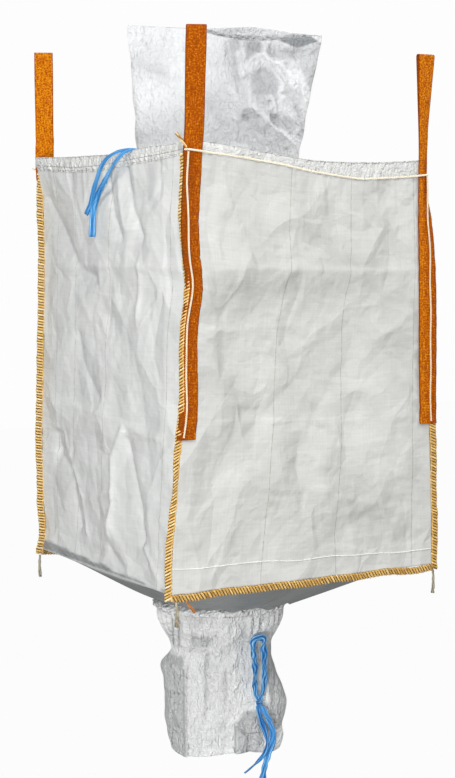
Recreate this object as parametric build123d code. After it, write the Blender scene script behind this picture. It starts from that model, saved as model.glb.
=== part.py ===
from build123d import *
import math
import os

# A bulk bag of woven fabric, hung by its four lifting loops. Millimetres, +Z up.
# The origin is the centre of the four loops, at the level where the lifting bars bear.
# The front side panel faces -Y. The U panel makes the walls at -X and +X and the base.

os.makedirs("parts", exist_ok=True)

# Bag body
PANEL_WIDTH = 900.0          # each wall, corner to corner
WALL_HEIGHT = 1300.0         # top of the hem to the bottom seam
FABRIC = 1.0                 # coated woven fabric with its crimp
WALL_BOW = 22.0              # how far each wall bellies out halfway down
TOP_BOW_SHARE = 0.4          # share of that bow left at the hem
SEAT = 0.3                   # between layers that lie on each other
SEAM_GAP = 0.4               # between pieces sewn edge to edge
BASE_SETBACK = 0.25          # edge of the base inside the foot of the walls it is one piece with

# Hem and seams
HEM_HEIGHT = 40.0
HEM_THICKNESS = 3.0          # three folded plies
HEM_SAG = 32.0               # drop of the hem halfway between two loops
SEAM_WIDTH = 18.0            # overlocked flange that stands out along a seam
SEAM_THICKNESS = 2.4         # two plies and the thread that wraps them

# Webbing
WEBBING_WIDTH = 60.0
WEBBING_THICKNESS = 2.5
LOOP_RISE = 350.0            # top of the hem to the bearing level
LOOP_BEND_RADIUS = 10.0      # inside of the bend, over a lifting bar
LOOP_JOIN = 12.0             # hem to the point where the two plies of a loop part
LOOP_JOIN_RADIUS = 0.4       # rounding of the slit at that point
LEG_LENGTH = 850.0           # sewn length below the top of the hem
LOOP_SWING_GAP = 0.4         # between a free loop and its sewn leg

# Sewing thread
CHAIN_WIDTH = 4.0            # heavy chain stitch
CHAIN_THICKNESS = 1.5
NEEDLE_WIDTH = 1.6           # light lock stitch
NEEDLE_THICKNESS = 0.8
HEM_STITCH_DROP = 35.0       # hem top to the stitching along the foot of the hem
HEM_ROW_PITCH = 12.0         # between the two light rows of a U panel hem
BOTTOM_STITCH_RISE = 36.0    # bottom seam to the stitch line above it

# Top panel and fill spout
TOP_INSET = 5.0              # hem bottom to the edge of the top panel, measured upwards
TOP_SAG = 16.0               # extra dip of the top panel at its middle
SPOUT_TURN = -33.0           # the flattened spout lies turned about Z, degrees
FILL_BASE_LONG = 250.0       # half axes of the fill spout where it is sewn in
FILL_BASE_SHORT = 136.0
FILL_MOUTH_LONG = 312.0      # half axes at its mouth, nearly flat
FILL_MOUTH_SHORT = 30.0
FILL_LENGTH = 500.0
COLLAR_HEIGHT = 24.0
COLLAR_THICKNESS = 2.0       # seam allowance turned up round a spout

# Base and discharge spout
BASE_SAG = 135.0             # bottom seam down to the rim of the discharge hole
DISCHARGE_RADIUS = 200.0
RING_HEIGHT = 34.0
RING_BULGE = 7.0             # gathers that swell round the seam of the spout
RIM_CLEAR = 3.0              # rim of the hole to the gathers below it
DISCHARGE_LENGTH = 470.0
# sections of the limp discharge spout: share of its length, half width, half depth
DISCHARGE_SECTIONS = [(0.0, 199.0, 199.0), (0.28, 164.0, 128.0), (0.66, 196.0, 100.0), (1.0, 172.0, 104.0)]

# Free ends
TAPE_THICKNESS = 5.0         # tie tape, gathered lengthwise
TAIL_THICKNESS = 8.0         # seam filler cord that hangs out at a bottom corner
THREAD_THICKNESS = 3.0       # tuft of chained thread
KNOT_WIDTH = 24.0            # knot of the discharge tie
KNOT_HEIGHT = 18.0
KNOT_DEPTH = 14.0
KNOT_ROUNDING = 5.0

# Routes of the free ends, by hand. Those of the discharge tie are given as it hangs in front
# of the spout: along its flat direction, out of its middle plane, and level.
FILL_TIE_LONG = [
    (-141.7, -61, -424), (-186, -104, -416), (-256, -134, -394), (-332, -142, -368), (-404, -138, -348),
    (-446, -130, -340), (-482, -114, -346), (-499, -80, -362), (-501, -36, -390), (-495, -3, -426),
    (-489, 38, -466), (-483, 64, -508), (-481, 98, -538),
]
FILL_TIE_SHORT = [
    (-122.6, -78.5, -424), (-166, -128, -416), (-240, -160, -394), (-320, -170, -368), (-398, -166, -348),
    (-448, -158, -341), (-482, -146, -350), (-497, -114, -382), (-495, -66, -424), (-488, -18, -452),
    (-484, 28, -488), (-480, 60, -538), (-478, 64, -608),
]
DISCHARGE_TIE_BOW = [
    (96, 98, -2091), (109, 97, -2044), (108, 102, -1984), (104, 113, -1924), (109, 134, -1884),
    (73, 149, -1880), (69, 131, -1922), (81, 114, -1992), (73, 108, -2052), (86, 98, -2090.6),
]
DISCHARGE_TIE_LEFT = [
    (86, 98, -2110.8), (91, 102, -2140), (108, 105, -2186), (120, 108, -2224), (110, 106, -2262),
    (78, 103, -2298), (44, 102, -2326),
]
DISCHARGE_TIE_RIGHT = [
    (96, 98, -2112), (114, 103, -2136), (127, 107, -2166), (137, 109, -2200), (132, 107, -2236),
    (115, 104, -2276), (104, 103, -2322), (99, 102, -2368),
]
KNOT_MIDDLE = (91, 98.2, -2101)
# Given from the front left corner, at the level of the bottom seam or the top of the hem
SEAM_TAIL = [(-9, 1, -18.6), (-12, -1, -55), (-8, 1, -92)]
BOTTOM_TUFT = [(10, 1, -19.2), (22, 0, -36), (35, -3, -52)]
HEM_TUFT = [(1.5, 10, -0.5), (-8, 15, 19), (-24, 22, 42)]

# Derived levels
HALF = PANEL_WIDTH / 2
HEM_TOP = -LOOP_RISE
HEM_BOTTOM = HEM_TOP - HEM_HEIGHT
SEAM_LEVEL = HEM_TOP - WALL_HEIGHT
SIDE_INSET = HEM_THICKNESS + SEAM_GAP
U_REACH = HALF - SEAM_THICKNESS - SEAM_GAP
LEG_THICKNESS = 2 * WEBBING_THICKNESS
LEG_INNER = HALF + SEAM_WIDTH - WEBBING_WIDTH
LEG_FACE = SEAT + LEG_THICKNESS
TOP_EDGE = HEM_BOTTOM + TOP_INSET
TOP_MIDDLE = TOP_EDGE - HEM_SAG - TOP_SAG
COLLAR_BOTTOM = TOP_MIDDLE - COLLAR_HEIGHT / 2
FILL_BOTTOM = COLLAR_BOTTOM + COLLAR_HEIGHT + SEAT
RIM_LEVEL = SEAM_LEVEL - BASE_SAG
RING_BOTTOM = RIM_LEVEL - RING_HEIGHT / 2
DISCHARGE_TOP = RING_BOTTOM - SEAT

CORNERS = {
    "front_left": (-1, -1),
    "front_right": (1, -1),
    "back_left": (-1, 1),
    "back_right": (1, 1),
}


def spread(start, end, count):
    """Evenly spaced values from start to end."""
    return [start + (end - start) * step / (count - 1) for step in range(count)]


def between(start, end, share):
    return start + (end - start) * share


def cloth(point_at, columns, rows, thickness, inward):
    """Closed solid of cloth behind the surface point_at(u, v), with u and v from 0 to 1."""
    grid = [[point_at(u, v) for u in spread(0, 1, columns)] for v in spread(0, 1, rows)]
    skin = Face.make_surface_from_array_of_points(grid, tol=0.01, min_deg=3, max_deg=3)
    return Solid.thicken(skin, thickness, normal_override=inward)


def across(offset):
    """1 in the middle of a panel, 0 at its corners and past them."""
    return max(0.0, 1 - (offset / HALF) ** 2)


def wall_bow(x, z):
    """How far the front wall stands out from the plane of its corners."""
    down = (HEM_TOP - z) / WALL_HEIGHT
    profile = (1 - down) * (TOP_BOW_SHARE + 4 * (1 - TOP_BOW_SHARE) * down)
    return WALL_BOW * across(x) * profile


def sagged(level):
    """A level that follows the sagging hem."""
    return lambda x: level - HEM_SAG * across(x)


def straight(level):
    return lambda x: level


def on_front(x_start, x_end, top, bottom, face, thickness, columns=9, rows=9):
    """Piece that follows the front wall. Its outer face lies face in front of the wall's."""

    def point_at(u, v):
        x = between(x_start, x_end, u)
        z = between(top(x), bottom(x), v)
        return (x, -HALF - wall_bow(x, z) - face, z)

    return cloth(point_at, columns, rows, thickness, (0, 1, 0))


def to_back(piece):
    return piece.mirror(Plane.XZ)


def to_left(piece):
    """Turn a piece of the front wall onto the wall at -X."""
    return piece.rotate(Axis.Z, -90)


def to_right(piece):
    return piece.rotate(Axis.Z, 90)


def at_corner(piece, corner):
    """Move a piece made at the front left corner to another corner."""
    side_x, side_y = CORNERS[corner]
    if side_x > 0:
        piece = piece.mirror(Plane.YZ)
    if side_y > 0:
        piece = piece.mirror(Plane.XZ)
    return piece


def front_hem():
    return on_front(-HALF, HALF, sagged(HEM_TOP), sagged(HEM_BOTTOM), 0, HEM_THICKNESS, rows=4)


def side_hem():
    reach = HALF - SIDE_INSET
    return on_front(-reach, reach, sagged(HEM_TOP), sagged(HEM_BOTTOM), 0, HEM_THICKNESS, rows=4)


def front_panel():
    return on_front(-HALF, HALF, sagged(HEM_BOTTOM - SEAM_GAP), straight(SEAM_LEVEL), 0, FABRIC)


def base_sheet():
    """The base, dipping from its straight edges to the rim of the discharge hole."""
    full_sag = BASE_SAG / across(DISCHARGE_RADIUS)
    edge = SEAM_LEVEL + BASE_SETBACK
    reach_x = HALF - BASE_SETBACK
    reach_y = U_REACH - BASE_SETBACK

    def point_at(u, v):
        side_x = between(-1, 1, u)
        side_y = between(-1, 1, v)
        z = edge - full_sag * (1 - side_x ** 2) * (1 - side_y ** 2)
        return (side_x * reach_x, side_y * reach_y, z)

    return cloth(point_at, 13, 13, FABRIC, (0, 0, 1))


def u_panel():
    """Two opposite walls and the base, cut from one length of fabric."""
    wall = on_front(-U_REACH, U_REACH, sagged(HEM_BOTTOM - SEAM_GAP), straight(SEAM_LEVEL), 0, FABRIC)
    hole = Pos(0, 0, RIM_LEVEL) * Cylinder(DISCHARGE_RADIUS + SEAM_GAP, BASE_SAG)
    return to_left(wall) + base_sheet() + to_right(wall) - hole


def top_panel():
    """Flat panel sewn in behind the hem, with the hole for the fill spout."""

    def point_at(u, v):
        side_x = between(-1, 1, u)
        side_y = between(-1, 1, v)
        x = side_x * (HALF - SIDE_INSET + wall_bow(side_y * HALF, TOP_EDGE))
        y = side_y * (HALF - SIDE_INSET + wall_bow(side_x * HALF, TOP_EDGE))
        along = across(side_x * HALF)
        deep = across(side_y * HALF)
        z = TOP_EDGE - HEM_SAG * (along + deep - along * deep) - TOP_SAG * along * deep
        return (x, y, z)

    panel = cloth(point_at, 13, 13, FABRIC, (0, 0, 1))
    hole = ellipse_at(FILL_BASE_LONG + SEAM_GAP, FILL_BASE_SHORT + SEAM_GAP, TOP_MIDDLE - HEM_SAG)
    return panel - extrude(hole, 2 * HEM_SAG + TOP_SAG)


def ellipse_at(long_half, short_half, level):
    """Level ellipse, turned the way the spouts lie."""
    return Pos(0, 0, level) * Rot(0, 0, SPOUT_TURN) * Ellipse(long_half, short_half)


def sleeve(sections, thickness):
    """Thin open tube through ellipses given as level, half length and half depth."""
    outer = loft([ellipse_at(long, short, level) for level, long, short in sections])
    inner = loft([ellipse_at(long - thickness, short - thickness, level) for level, long, short in sections])
    return outer - inner


def fill_collar():
    low = (COLLAR_BOTTOM, FILL_BASE_LONG, FILL_BASE_SHORT)
    high = (COLLAR_BOTTOM + COLLAR_HEIGHT, FILL_BASE_LONG, FILL_BASE_SHORT)
    return sleeve([low, high], COLLAR_THICKNESS)


def fill_spout():
    low = (FILL_BOTTOM, FILL_BASE_LONG, FILL_BASE_SHORT)
    high = (FILL_BOTTOM + FILL_LENGTH, FILL_MOUTH_LONG, FILL_MOUTH_SHORT)
    return sleeve([low, high], FABRIC)


def discharge_ring():
    """Gathered seam between the base and the discharge spout."""
    outer = DISCHARGE_RADIUS
    inner = DISCHARGE_RADIUS - COLLAR_THICKNESS
    top = RIM_LEVEL + RING_HEIGHT / 2
    bulge_top = RIM_LEVEL - RIM_CLEAR
    bulge_middle = (bulge_top + RING_BOTTOM) / 2
    corners = [(outer, bulge_top), (outer, top), (inner, top), (inner, RING_BOTTOM), (outer, RING_BOTTOM)]
    outline = Polyline(*corners)
    bulge = ThreePointArc(corners[-1], (outer + RING_BULGE, bulge_middle), corners[0])
    return revolve(Plane.XZ * make_face(outline.edges() + [bulge]), Axis.Z)


def discharge_spout():
    """Limp spout under the base, part round and part flat."""
    sections = []
    for share, half_width, half_depth in DISCHARGE_SECTIONS:
        sections.append((DISCHARGE_TOP - share * DISCHARGE_LENGTH, half_width, half_depth))
    return sleeve(sections, FABRIC)


def corner_seam():
    """Overlocked flange from the hem to just past the bottom seam, at the front left corner."""
    top = HEM_BOTTOM - SEAM_GAP
    bottom = SEAM_LEVEL - SEAM_WIDTH
    flange = Box(SEAM_WIDTH - SEAM_GAP, SEAM_THICKNESS, top - bottom, align=(Align.MIN, Align.MIN, Align.MIN))
    return Pos(-HALF - SEAM_WIDTH, -HALF, bottom) * flange


def bottom_seam():
    """Overlocked flange that hangs along the foot of the front panel."""
    height = SEAM_WIDTH - SEAM_GAP
    flange = Box(PANEL_WIDTH, SEAM_THICKNESS, height, align=(Align.CENTER, Align.MIN, Align.MAX))
    return Pos(0, -HALF, SEAM_LEVEL - SEAM_GAP) * flange


def loop_leg():
    """Both plies of a loop's webbing, sewn flat over the corner seam and the side panel."""
    top = straight(HEM_TOP)
    foot = straight(HEM_TOP - LEG_LENGTH)
    return on_front(-HALF - SEAM_WIDTH, -LEG_INNER, top, foot, LEG_FACE, LEG_THICKNESS, columns=13)


def lifting_loop():
    """Free part of a loop: a teardrop of webbing that closes at the hem."""
    middle = -HALF - SEAT - WEBBING_THICKNESS
    foot = HEM_TOP + LOOP_SWING_GAP
    bend = (middle, -LOOP_BEND_RADIUS)
    outer_bend = Pos(*bend) * Circle(LOOP_BEND_RADIUS + WEBBING_THICKNESS)
    outer_foot = Pos(middle, foot) * Rectangle(LEG_THICKNESS, LOOP_SWING_GAP, align=(Align.CENTER, Align.MIN))
    inner_bend = Pos(*bend) * Circle(LOOP_BEND_RADIUS)
    inner_foot = Pos(middle, foot + LOOP_JOIN) * Circle(LOOP_JOIN_RADIUS)
    outer = make_hull(outer_bend.edges() + outer_foot.edges())
    inner = make_hull(inner_bend.edges() + inner_foot.edges())
    profile = Plane.YZ * (outer - inner)
    return Pos(-HALF - SEAM_WIDTH, 0, 0) * extrude(profile, WEBBING_WIDTH, dir=(1, 0, 0))


def leg_stitch():
    """Chain stitch down the corner line, on the sewn leg of the webbing."""
    start = -HALF - CHAIN_WIDTH / 2
    face = LEG_FACE + SEAT + CHAIN_THICKNESS
    top = straight(HEM_BOTTOM)
    foot = straight(HEM_TOP - LEG_LENGTH + CHAIN_WIDTH)
    return on_front(start, start + CHAIN_WIDTH, top, foot, face, CHAIN_THICKNESS, columns=4)


def stitch_row(x_start, x_end, level, face, width, thickness):
    top = sagged(level + width / 2)
    bottom = sagged(level - width / 2)
    return on_front(x_start, x_end, top, bottom, face + SEAT + thickness, thickness, rows=4)


def hem_chain():
    """Chain stitch along the hem of a side panel and over the webbing at both ends."""
    level = HEM_TOP - HEM_STITCH_DROP
    inner_end = LEG_INNER - SEAM_GAP
    middle = stitch_row(-inner_end, inner_end, level, 0, CHAIN_WIDTH, CHAIN_THICKNESS)
    over_left = stitch_row(-HALF - SEAM_WIDTH, -LEG_INNER, level, LEG_FACE, CHAIN_WIDTH, CHAIN_THICKNESS)
    return Compound([middle, over_left, over_left.mirror(Plane.YZ)])


def hem_rows():
    """Two light rows of stitching along the hem of a U panel wall."""
    reach = HALF - SIDE_INSET
    levels = [HEM_TOP - HEM_STITCH_DROP, HEM_TOP - HEM_STITCH_DROP + HEM_ROW_PITCH]
    return Compound([stitch_row(-reach, reach, level, 0, NEEDLE_WIDTH, NEEDLE_THICKNESS) for level in levels])


def bottom_stitch():
    """Stitch line that runs just above the bottom seam."""
    level = SEAM_LEVEL + BOTTOM_STITCH_RISE
    top = straight(level + CHAIN_WIDTH / 2)
    bottom = straight(level - CHAIN_WIDTH / 2)
    face = SEAT + NEEDLE_THICKNESS
    return on_front(-HALF, HALF, top, bottom, face, NEEDLE_THICKNESS, rows=4)


def corner_radii(points):
    """Bend radii of a route: 0.45 of the shorter run over the tangent of half the turn."""
    radii = []
    for before, here, after in zip(points, points[1:], points[2:]):
        first = Vector(here) - Vector(before)
        second = Vector(after) - Vector(here)
        half_turn = math.radians(first.get_angle(second)) / 2
        radii.append(0.45 * min(first.length, second.length) / math.tan(half_turn))
    return radii


def cord(name, points, thickness):
    """Round cord along straight runs that are joined by tangent arcs."""
    radii = corner_radii(points)
    line = FilletPolyline(*points, radius=radii)
    section = Plane(origin=line @ 0, z_dir=line % 0) * Circle(thickness / 2)
    tube = sweep(section, path=line)
    volume_share = tube.volume / (math.pi * thickness ** 2 / 4 * line.length)
    print(name, "radii", [round(radius, 1) for radius in radii], "volume share", round(volume_share, 4))
    return tube


def from_corner(points, level):
    """Route points of a free end, in the frame of the bag."""
    return [(along - HALF, out - HALF, level + up) for along, out, up in points]


def hung_in_front(points):
    """Route points of the discharge tie, in the frame of the bag."""
    turned = Plane(origin=(0, 0, 0), x_dir=Vector(1, 0, 0).rotate(Axis.Z, SPOUT_TURN), z_dir=(0, 0, 1))
    return [turned.from_local_coords(Vector(along, -out, level)) for along, out, level in points]


def tie_knot():
    """Soft knot between the bow and the two ends of the discharge tie."""
    knot = Box(KNOT_WIDTH, KNOT_DEPTH, KNOT_HEIGHT)
    rounded = fillet(knot.edges(), KNOT_ROUNDING)
    return Pos(*hung_in_front([KNOT_MIDDLE])[0]) * Rot(0, 0, SPOUT_TURN) * rounded


if __name__ == "__main__":
    parts = {}
    parts["u_panel"] = u_panel()
    parts["front_panel"] = front_panel()
    parts["back_panel"] = to_back(front_panel())
    parts["top_panel"] = top_panel()
    parts["front_hem"] = front_hem()
    parts["back_hem"] = to_back(front_hem())
    parts["left_hem"] = to_left(side_hem())
    parts["right_hem"] = to_right(side_hem())
    for corner in CORNERS:
        parts["corner_seam_" + corner] = at_corner(corner_seam(), corner)
        parts["lifting_loop_" + corner] = at_corner(lifting_loop(), corner)
        parts["loop_leg_" + corner] = at_corner(loop_leg(), corner)
        parts["leg_stitch_" + corner] = at_corner(leg_stitch(), corner)
    for side, place in (("front", lambda piece: piece), ("back", to_back)):
        parts["bottom_seam_" + side] = place(bottom_seam())
        parts["bottom_stitch_" + side] = place(bottom_stitch())
        parts["hem_chain_" + side] = place(hem_chain())
    parts["hem_rows_left"] = to_left(hem_rows())
    parts["hem_rows_right"] = to_right(hem_rows())
    parts["fill_collar"] = fill_collar()
    parts["fill_spout"] = fill_spout()
    parts["discharge_ring"] = discharge_ring()
    parts["discharge_spout"] = discharge_spout()
    ties = {
        "fill_tie_long": FILL_TIE_LONG,
        "fill_tie_short": FILL_TIE_SHORT,
        "discharge_tie_bow": hung_in_front(DISCHARGE_TIE_BOW),
        "discharge_tie_left": hung_in_front(DISCHARGE_TIE_LEFT),
        "discharge_tie_right": hung_in_front(DISCHARGE_TIE_RIGHT),
    }
    for name, points in ties.items():
        parts[name] = cord(name, points, TAPE_THICKNESS)
    parts["discharge_tie_knot"] = tie_knot()
    tail = cord("seam_tail", from_corner(SEAM_TAIL, SEAM_LEVEL), TAIL_THICKNESS)
    for corner in CORNERS:
        parts["seam_tail_" + corner] = at_corner(tail, corner)
    for name, points, level in (
        ("hem_thread_tuft", HEM_TUFT, HEM_TOP),
        ("bottom_thread_tuft", BOTTOM_TUFT, SEAM_LEVEL),
    ):
        parts[name] = cord(name, from_corner(points, level), THREAD_THICKNESS)
    for name, piece in parts.items():
        export_step(piece, "parts/" + name + ".step")
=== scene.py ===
"""Bulk bag of woven polypropylene, hung by its four lifting loops. Metres, +Z up.

The origin is the centre of the four loops at the level where the lifting bars bear. The front side
panel faces -Y. A wall's own coordinates are a, along the wall to the right as seen from outside, and
z, the level; a third number, out, stands off the plane of the wall's corners.
"""

import math

import bpy
import numpy as np
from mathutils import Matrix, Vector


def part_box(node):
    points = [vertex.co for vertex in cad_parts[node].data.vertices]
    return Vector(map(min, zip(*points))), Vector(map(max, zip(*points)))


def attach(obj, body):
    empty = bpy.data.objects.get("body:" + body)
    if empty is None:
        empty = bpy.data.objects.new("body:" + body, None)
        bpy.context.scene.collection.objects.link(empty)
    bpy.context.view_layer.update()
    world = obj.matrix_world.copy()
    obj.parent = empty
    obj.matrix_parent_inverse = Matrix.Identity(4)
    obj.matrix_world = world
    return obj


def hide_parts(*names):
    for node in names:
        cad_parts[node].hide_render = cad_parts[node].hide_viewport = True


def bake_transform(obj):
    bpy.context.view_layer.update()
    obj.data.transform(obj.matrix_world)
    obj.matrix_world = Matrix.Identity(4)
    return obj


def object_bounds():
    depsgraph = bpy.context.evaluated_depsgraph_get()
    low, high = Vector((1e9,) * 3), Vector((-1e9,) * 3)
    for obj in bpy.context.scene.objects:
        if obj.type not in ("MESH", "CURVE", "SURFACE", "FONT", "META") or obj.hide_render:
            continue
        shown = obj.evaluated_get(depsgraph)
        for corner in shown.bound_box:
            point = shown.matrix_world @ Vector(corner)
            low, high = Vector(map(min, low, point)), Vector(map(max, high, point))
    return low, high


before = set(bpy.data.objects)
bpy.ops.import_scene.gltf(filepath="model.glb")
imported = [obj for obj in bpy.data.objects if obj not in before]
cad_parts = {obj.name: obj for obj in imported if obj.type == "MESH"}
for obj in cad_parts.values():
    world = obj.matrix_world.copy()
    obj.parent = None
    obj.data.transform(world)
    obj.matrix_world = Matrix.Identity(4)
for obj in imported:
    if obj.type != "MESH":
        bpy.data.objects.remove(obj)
model_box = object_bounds()

# Places taken from the model
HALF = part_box("front_panel")[1].x            # centre to the plane of a wall's corners
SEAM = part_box("front_panel")[0].z            # level of the bottom seam
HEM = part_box("front_hem")[1].z               # level of the hem at the corners
LEG_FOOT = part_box("loop_leg_front_left")[0].z
RIM = 0.5 * (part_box("discharge_ring")[0].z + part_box("discharge_ring")[1].z)
RIM_RADIUS = 0.200
COLLAR_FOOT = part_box("fill_collar")[0].z
SPOUT_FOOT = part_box("discharge_spout")[0].z
LOWEST = model_box[0].z
FLANGE = 0.018                               # overlocked seam allowance
SPOUT_TURN = math.radians(33.0)              # the flattened spouts lie turned about Z
ALONG = np.array([math.cos(SPOUT_TURN), -math.sin(SPOUT_TURN), 0.0])
NEARER = np.array([-math.sin(SPOUT_TURN), -math.cos(SPOUT_TURN), 0.0])
CORNERS = {"front_left": (-1, -1), "front_right": (1, -1), "back_left": (-1, 1), "back_right": (1, 1)}
FIXED = np.random.default_rng(11)


# ---------------------------------------------------------------- camera

def set_camera():
    """Long lens at the level of the upper wall, nearly square to the flattened spouts."""
    turn = math.radians(32.6)
    data = bpy.data.cameras.new("camera")
    data.lens = 78.62
    data.sensor_width = 36.0
    data.shift_x = -0.0046
    data.shift_y = -0.1869
    data.clip_end = 100.0
    camera = bpy.data.objects.new("camera", data)
    camera.location = (-5.547 * math.sin(turn), -5.547 * math.cos(turn), -0.629)
    camera.rotation_euler = (math.pi / 2, 0.0, -turn)
    bpy.context.scene.collection.objects.link(camera)
    bpy.context.scene.camera = camera


set_camera()


# ---------------------------------------------------------------- numbers

def smooth(t):
    """0 to 1 along a cubic that is level at both ends."""
    t = np.clip(t, 0.0, 1.0)
    return t * t * (3.0 - 2.0 * t)


def through(x, knots, values):
    """Smooth curve through the knots: Hermite cubics whose slopes come from the knots on either side."""
    knots = np.asarray(knots, float)
    values = np.asarray(values, float)
    slopes = np.gradient(values, knots)
    x = np.clip(x, knots[0], knots[-1])
    i = np.clip(np.searchsorted(knots, x, side="right") - 1, 0, len(knots) - 2)
    wide = knots[i + 1] - knots[i]
    t = (x - knots[i]) / wide
    rise = values[i] * (1 + 2 * t) * (1 - t) ** 2 + values[i + 1] * t * t * (3 - 2 * t)
    return rise + wide * t * (1 - t) * (slopes[i] * (1 - t) - slopes[i + 1] * t)


def across(a):
    """1 in the middle of a panel, 0 at its corners."""
    return np.maximum(0.0, 1.0 - (a / HALF) ** 2)


def folded(a, z, folds, soft=0.002):
    """Height of creases at (a, z). Each is a line from (a1, z1) to (a2, z2): the height falls off with the
    distance d from it as exp(-d / width), with its crest rounded over soft, and fades out past both ends."""
    height = np.zeros(np.broadcast(a, z).shape)
    for a1, z1, a2, z2, high, width in folds:
        da, dz = a2 - a1, z2 - z1
        long = math.hypot(da, dz)
        t = ((a - a1) * da + (z - z1) * dz) / long ** 2
        d = ((a - a1) * dz - (z - z1) * da) / long
        fade = smooth((t + 0.15) / 0.3) * smooth((1.15 - t) / 0.3)
        height += high * np.exp(-(np.sqrt(d * d + soft * soft) - soft) / width) * fade
    return height


def creases(*lines):
    """Each line is (height, width, points); gives one crease for each run between two points."""
    runs = []
    for high, width, points in lines:
        runs += [(*p, *q, high, width) for p, q in zip(points, points[1:])]
    return runs


def chance_folds(count, a_range, z_range, lengths, widths, steep, lean):
    """Creases strewn at random over a sheet; lean is their middle angle and its spread, from level."""
    a = FIXED.uniform(*a_range, count)
    z = FIXED.uniform(*z_range, count)
    angle = lean[0] + FIXED.normal(0.0, lean[1], count)
    long = FIXED.uniform(*lengths, count) / 2
    width = FIXED.uniform(*widths, count)
    high = width * FIXED.uniform(*steep, count) * FIXED.choice([-1.0, 1.0], count)
    da, dz = np.cos(angle) * long, np.sin(angle) * long
    return list(zip(a - da, z - dz, a + da, z + dz, high, width))


def ripple(x, count, low, high, seed):
    """Uneven wave: a sum of sines of random length between low and high and random phase, about -1 to 1."""
    chance = np.random.default_rng(seed)
    lengths = chance.uniform(low, high, count)
    phases = chance.uniform(0, 2 * np.pi, count)
    return sum(np.sin(2 * np.pi * x / l + p) for l, p in zip(lengths, phases)) / math.sqrt(count)


def ring_ripple(turn, count, fewest, most, seed):
    """Uneven wave round a ring: sines with a whole number of waves from fewest to most, about -1 to 1."""
    chance = np.random.default_rng(seed)
    waves = chance.integers(fewest, most + 1, count)
    phases = chance.uniform(0, 2 * np.pi, count)
    return sum(np.sin(n * turn + p) for n, p in zip(waves, phases)) / math.sqrt(count)


# ---------------------------------------------------------------- how the empty bag hangs

# Drift of each corner of the empty bag from the model: level, x, y
DRIFT = {
    "front_left": [
        (-1.70, -0.032, 0.020), (-1.65, -0.031, 0.020), (-1.546, -0.028, 0.018), (-1.43, -0.022, 0.014),
        (-1.285, -0.012, 0.008), (-1.213, -0.006, 0.004), (-1.14, 0.000, 0.000), (-0.88, 0.003, -0.002),
        (-0.735, 0.016, -0.010), (-0.691, 0.012, -0.008), (-0.561, 0.006, -0.004), (-0.46, 0.010, -0.006),
        (-0.40, 0.012, -0.008), (-0.36, 0.0125, -0.008), (-0.32, 0.015, -0.010), (-0.15, 0.018, -0.012),
        (0.01, 0.021, -0.014),
    ],
    "front_right": [
        (-1.70, 0.015, -0.010), (-1.65, 0.015, -0.010), (-1.446, 0.014, -0.009), (-1.20, 0.010, -0.006),
        (-0.681, 0.007, -0.005), (-0.411, -0.001, 0.000), (-0.33, 0.000, 0.000), (0.01, 0.005, -0.003),
    ],
    "back_left": [
        (-1.70, -0.009, 0.006), (-1.647, -0.009, 0.006), (-1.60, -0.001, 0.001), (-1.487, -0.006, 0.004),
        (-0.52, -0.007, 0.004), (-0.465, -0.009, 0.006), (-0.41, -0.019, 0.012), (-0.37, -0.023, 0.015),
        (-0.34, -0.023, 0.015), (-0.30, -0.010, 0.007), (-0.26, -0.0102, 0.007), (-0.15, -0.0115, 0.008),
        (0.01, -0.0135, 0.009),
    ],
    "back_right": [(-1.70, 0.008, 0.006), (-1.20, 0.004, 0.005), (-0.40, 0.000, 0.000), (0.01, 0.003, 0.002)],
}


def settle(points, level=None):
    """Moves points with the corners: each point takes the four corners' drift at its level, shared by how
    near it lies to each of them."""
    points = np.asarray(points, float)
    z = points[..., 2] if level is None else np.broadcast_to(level, points.shape[:-1])
    moved = points.copy()
    for corner, (side_x, side_y) in CORNERS.items():
        levels, drift_x, drift_y = np.array(DRIFT[corner]).T
        share = np.clip(0.5 + side_x * points[..., 0] / (2 * HALF), 0, 1)
        share = share * np.clip(0.5 + side_y * points[..., 1] / (2 * HALF), 0, 1)
        moved[..., 0] += share * through(z, levels, drift_x)
        moved[..., 1] += share * through(z, levels, drift_y)
    return moved


def on_wall(side, a, out, z):
    """Points of a wall: a along it, out from the plane of its corners, z up."""
    a, out, z = np.broadcast_arrays(a, out, z)
    far = HALF + out
    x, y = {"front": (a, -far), "right": (far, a), "back": (-a, far), "left": (-far, -a)}[side]
    return np.stack([x, y, z], axis=-1)


# Level of the hem's top edge and of the stitch line at its foot, by place along the wall
HEM_TOPS = {
    "front": ([-0.45, -0.388, -0.20, -0.03, 0.175, 0.40, 0.45],
              [-0.324, -0.330, -0.353, -0.374, -0.377, -0.366, -0.362]),
    "left": ([-0.45, -0.422, -0.312, -0.10, 0.138, 0.212, 0.441, 0.45],
             [-0.340, -0.341, -0.346, -0.350, -0.347, -0.339, -0.326, -0.324]),
    "right": ([-0.45, -0.2, 0.0, 0.2, 0.45], [-0.362, -0.382, -0.386, -0.377, -0.352]),
    "back": ([-0.45, -0.2, 0.0, 0.2, 0.45], [-0.352, -0.373, -0.379, -0.367, -0.340]),
}
HEM_STITCHES = {
    "front": ([-0.45, -0.249, -0.124, -0.014, 0.118, 0.168, 0.273, 0.441, 0.45],
              [-0.356, -0.376, -0.391, -0.409, -0.424, -0.428, -0.424, -0.411, -0.410]),
    "left": ([-0.45, -0.13, 0.20, 0.441, 0.45], [-0.379, -0.396, -0.381, -0.363, -0.362]),
    "right": ([-0.45, -0.2, 0.0, 0.2, 0.45], [-0.404, -0.424, -0.429, -0.419, -0.394]),
    "back": ([-0.45, -0.2, 0.0, 0.2, 0.45], [-0.394, -0.415, -0.421, -0.409, -0.380]),
}
HEM_LIP = 0.005                              # stitch line to the hem's lower edge


def hem_top(side, a):
    """Level of a hem's top edge."""
    return through(a, *HEM_TOPS[side])


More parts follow.
